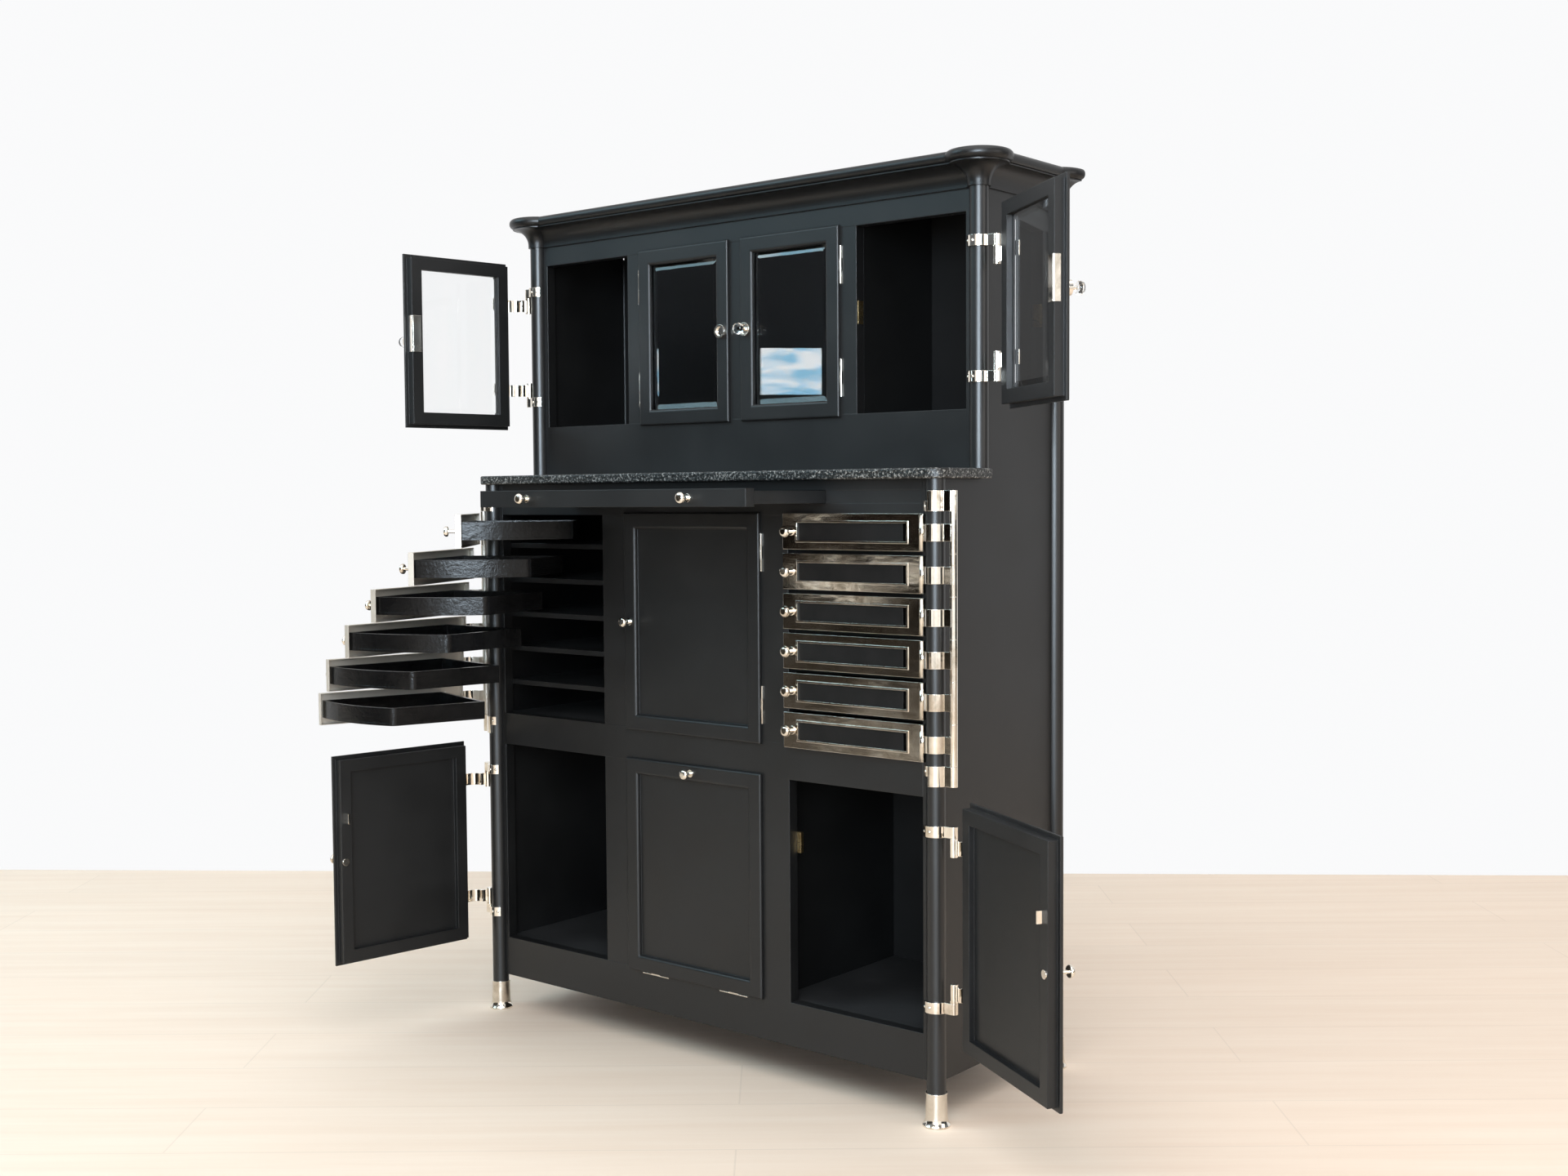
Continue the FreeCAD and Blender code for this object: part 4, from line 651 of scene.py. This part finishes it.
def make_ring():
    points = []
    for level in (0.0, RING_HEIGHT):
        for side in range(RING_SIDES):
            angle = 2.0 * math.pi * side / RING_SIDES
            points.append((CASE_CENTRE.x + RING_RADIUS * math.cos(angle),
                           CASE_CENTRE.y + RING_RADIUS * math.sin(angle), level))
    faces = [(side, (side + 1) % RING_SIDES, RING_SIDES + (side + 1) % RING_SIDES, RING_SIDES + side)
             for side in range(RING_SIDES)]
    ring = staged("room_ring", points, faces)
    look = Look("room_dim")
    look.glow(look.tint(look.level(0.0, RING_HEIGHT), *RING_STOPS), 1.0)
    only_mirrored(ring, look)


# A room corner that the tray fronts mirror, pale at the bottom and dim with bright streaks above.
CORNER_X = (-2.9, -0.9)
CORNER_Y = -2.4
CORNER_HEIGHT = 1.10
CORNER_FADE = (0.15, 0.62)
CORNER_FOLDS = (3.2, 1.0, 7.0)
CORNER_DIM = ((0.49, (0.005, 0.004, 0.003)), (0.595, (0.020, 0.015, 0.012)),
              (0.63, (0.060, 0.050, 0.040)), (0.67, (0.95, 0.90, 0.80)))
CORNER_PALE = ((0.40, (0.055, 0.047, 0.038)), (0.52, (0.125, 0.112, 0.095)), (0.60, (0.40, 0.37, 0.32)))

# A pale wall behind the camera, and a window just before it.
PALE_BEHIND = 2.4
PALE_HALF = 4.5
PALE_HEIGHT = 2.8
PALE_STOPS = ((0.35, (0.62, 0.61, 0.59)), (0.62, (1.0, 0.98, 0.95)))
PALE_STRENGTH = 1.5
WINDOW_BEHIND = PALE_BEHIND - 0.1
WINDOW_HALF = 1.25
WINDOW_SHIFT = -0.8
WINDOW_LEVELS = (0.85, 2.5)
WINDOW_STOPS = ((0.35, (0.66, 0.83, 1.0)), (0.65, (0.82, 0.92, 1.0)))
WINDOW_STRENGTH = 32.0


def upright(place, half, levels):
    """Corners of an upright card across the view."""
    left, right = (Vector((place.x, place.y, 0.0)) + across * end for end in (-half, half))
    low, high = (Vector((0.0, 0.0, level)) for level in levels)
    return [left + low, right + low, right + high, left + high]


def make_room_cards():
    near, far = CORNER_X
    look = Look("room_corner_dim")
    folds = look.noise(1.0, detail=2.0, rough=0.50, vector=look.mapped(CORNER_FOLDS), distort=0.9)
    dim = look.tint(folds, *CORNER_DIM)
    pale = look.tint(folds, *CORNER_PALE)
    look.glow(look.mix(look.level(*CORNER_FADE), pale, dim), 1.0)
    mirror_card("room_corner", [(near, CORNER_Y, 0.0), (near, CORNER_Y, CORNER_HEIGHT),
                                (far, CORNER_Y, CORNER_HEIGHT), (far, CORNER_Y, 0.0)], look)
    look = Look("room_pale")
    look.glow(look.tint(look.noise(1.6, detail=3.0), *PALE_STOPS), PALE_STRENGTH)
    place = CAMERA_PLACE - view_level * PALE_BEHIND
    mirror_card("room_behind", upright(place, PALE_HALF, (0.0, PALE_HEIGHT)), look)
    look = Look("window_bright")
    look.glow(look.tint(look.noise(2.0, detail=2.0), *WINDOW_STOPS), WINDOW_STRENGTH)
    place = CAMERA_PLACE - view_level * WINDOW_BEHIND + across * WINDOW_SHIFT
    mirror_card("window_behind", upright(place, WINDOW_HALF, WINDOW_LEVELS), look)


# Soft lamps: name, place and target from the case's middle, width and height, power and colour.
LAMPS = (("window_left", (-3.0, -3.3, 3.5), (0.0, 0.0, 0.8), 2.6, 1.7, 72.0, (0.53, 0.86, 1.0)),
         ("ceiling", (1.3, -2.2, 4.4), (1.1, -1.9, 0.0), 5.4, 5.0, 160.0, (1.0, 0.985, 0.97)),
         ("front_fill", (3.0, -3.6, 2.6), (1.1, -1.9, 0.0), 1.9, 1.9, 50.0, (0.96, 0.985, 1.0)),
         ("right_fill", (3.6, 0.2, 1.7), (0.2, 0.1, 0.8), 1.6, 1.6, 21.0, (1.0, 0.95, 0.90)))


def make_lights():
    for name, place, target, width, height, power, colour in LAMPS:
        data = bpy.data.lights.new(name, "AREA")
        data.shape = "RECTANGLE"
        data.size = width
        data.size_y = height
        data.energy = power
        data.color = colour
        item = bpy.data.objects.new(name, data)
        item.location = CASE_CENTRE + Vector(place)
        item.rotation_euler = (Vector(target) - Vector(place)).to_track_quat("-Z", "Y").to_euler()
        scene.collection.objects.link(item)


# The world's light from straight below, through the horizon, to straight above.
WORLD_STOPS = ((0.44, (0.50, 0.45, 0.40)), (0.50, (0.10, 0.10, 0.10)), (0.66, (0.32, 0.30, 0.28)),
               (1.0, (0.59, 0.57, 0.54)))


def make_world():
    """Plain room light from all round, and a white background."""
    world = bpy.data.worlds.new("room_light")
    world.use_nodes = True
    tree = world.node_tree
    new, link = tree.nodes.new, tree.links.new
    split = new("ShaderNodeSeparateXYZ")
    link(new("ShaderNodeTexCoord").outputs["Generated"], split.inputs["Vector"])
    level = new("ShaderNodeMapRange")
    level.inputs["From Min"].default_value = -1.0
    link(split.outputs["Z"], level.inputs["Value"])
    ramp = new("ShaderNodeValToRGB")
    fill_ramp(ramp, WORLD_STOPS)
    link(level.outputs["Result"], ramp.inputs["Fac"])
    back = tree.nodes["Background"]
    link(ramp.outputs["Color"], back.inputs["Color"])
    white = new("ShaderNodeBackground")
    white.inputs["Color"].default_value = (*WHITE, 1.0)
    path = new("ShaderNodeLightPath")
    seen = path.outputs["Is Camera Ray"]
    for kind in ("Is Glossy Ray", "Is Transmission Ray"):
        either = new("ShaderNodeMath")
        either.operation = "MAXIMUM"
        link(seen, either.inputs[0])
        link(path.outputs[kind], either.inputs[1])
        seen = either.outputs["Value"]
    blend = new("ShaderNodeMixShader")
    link(seen, blend.inputs["Fac"])
    link(back.outputs["Background"], blend.inputs[1])
    link(white.outputs["Background"], blend.inputs[2])
    link(blend.outputs["Shader"], tree.nodes["World Output"].inputs["Surface"])
    scene.world = world


make_camera()
dress_nodes()
add_rolled_ends()
make_room()
make_sky_cards()
make_ring()
make_room_cards()
make_lights()
make_world()

bpy.context.view_layer.update()
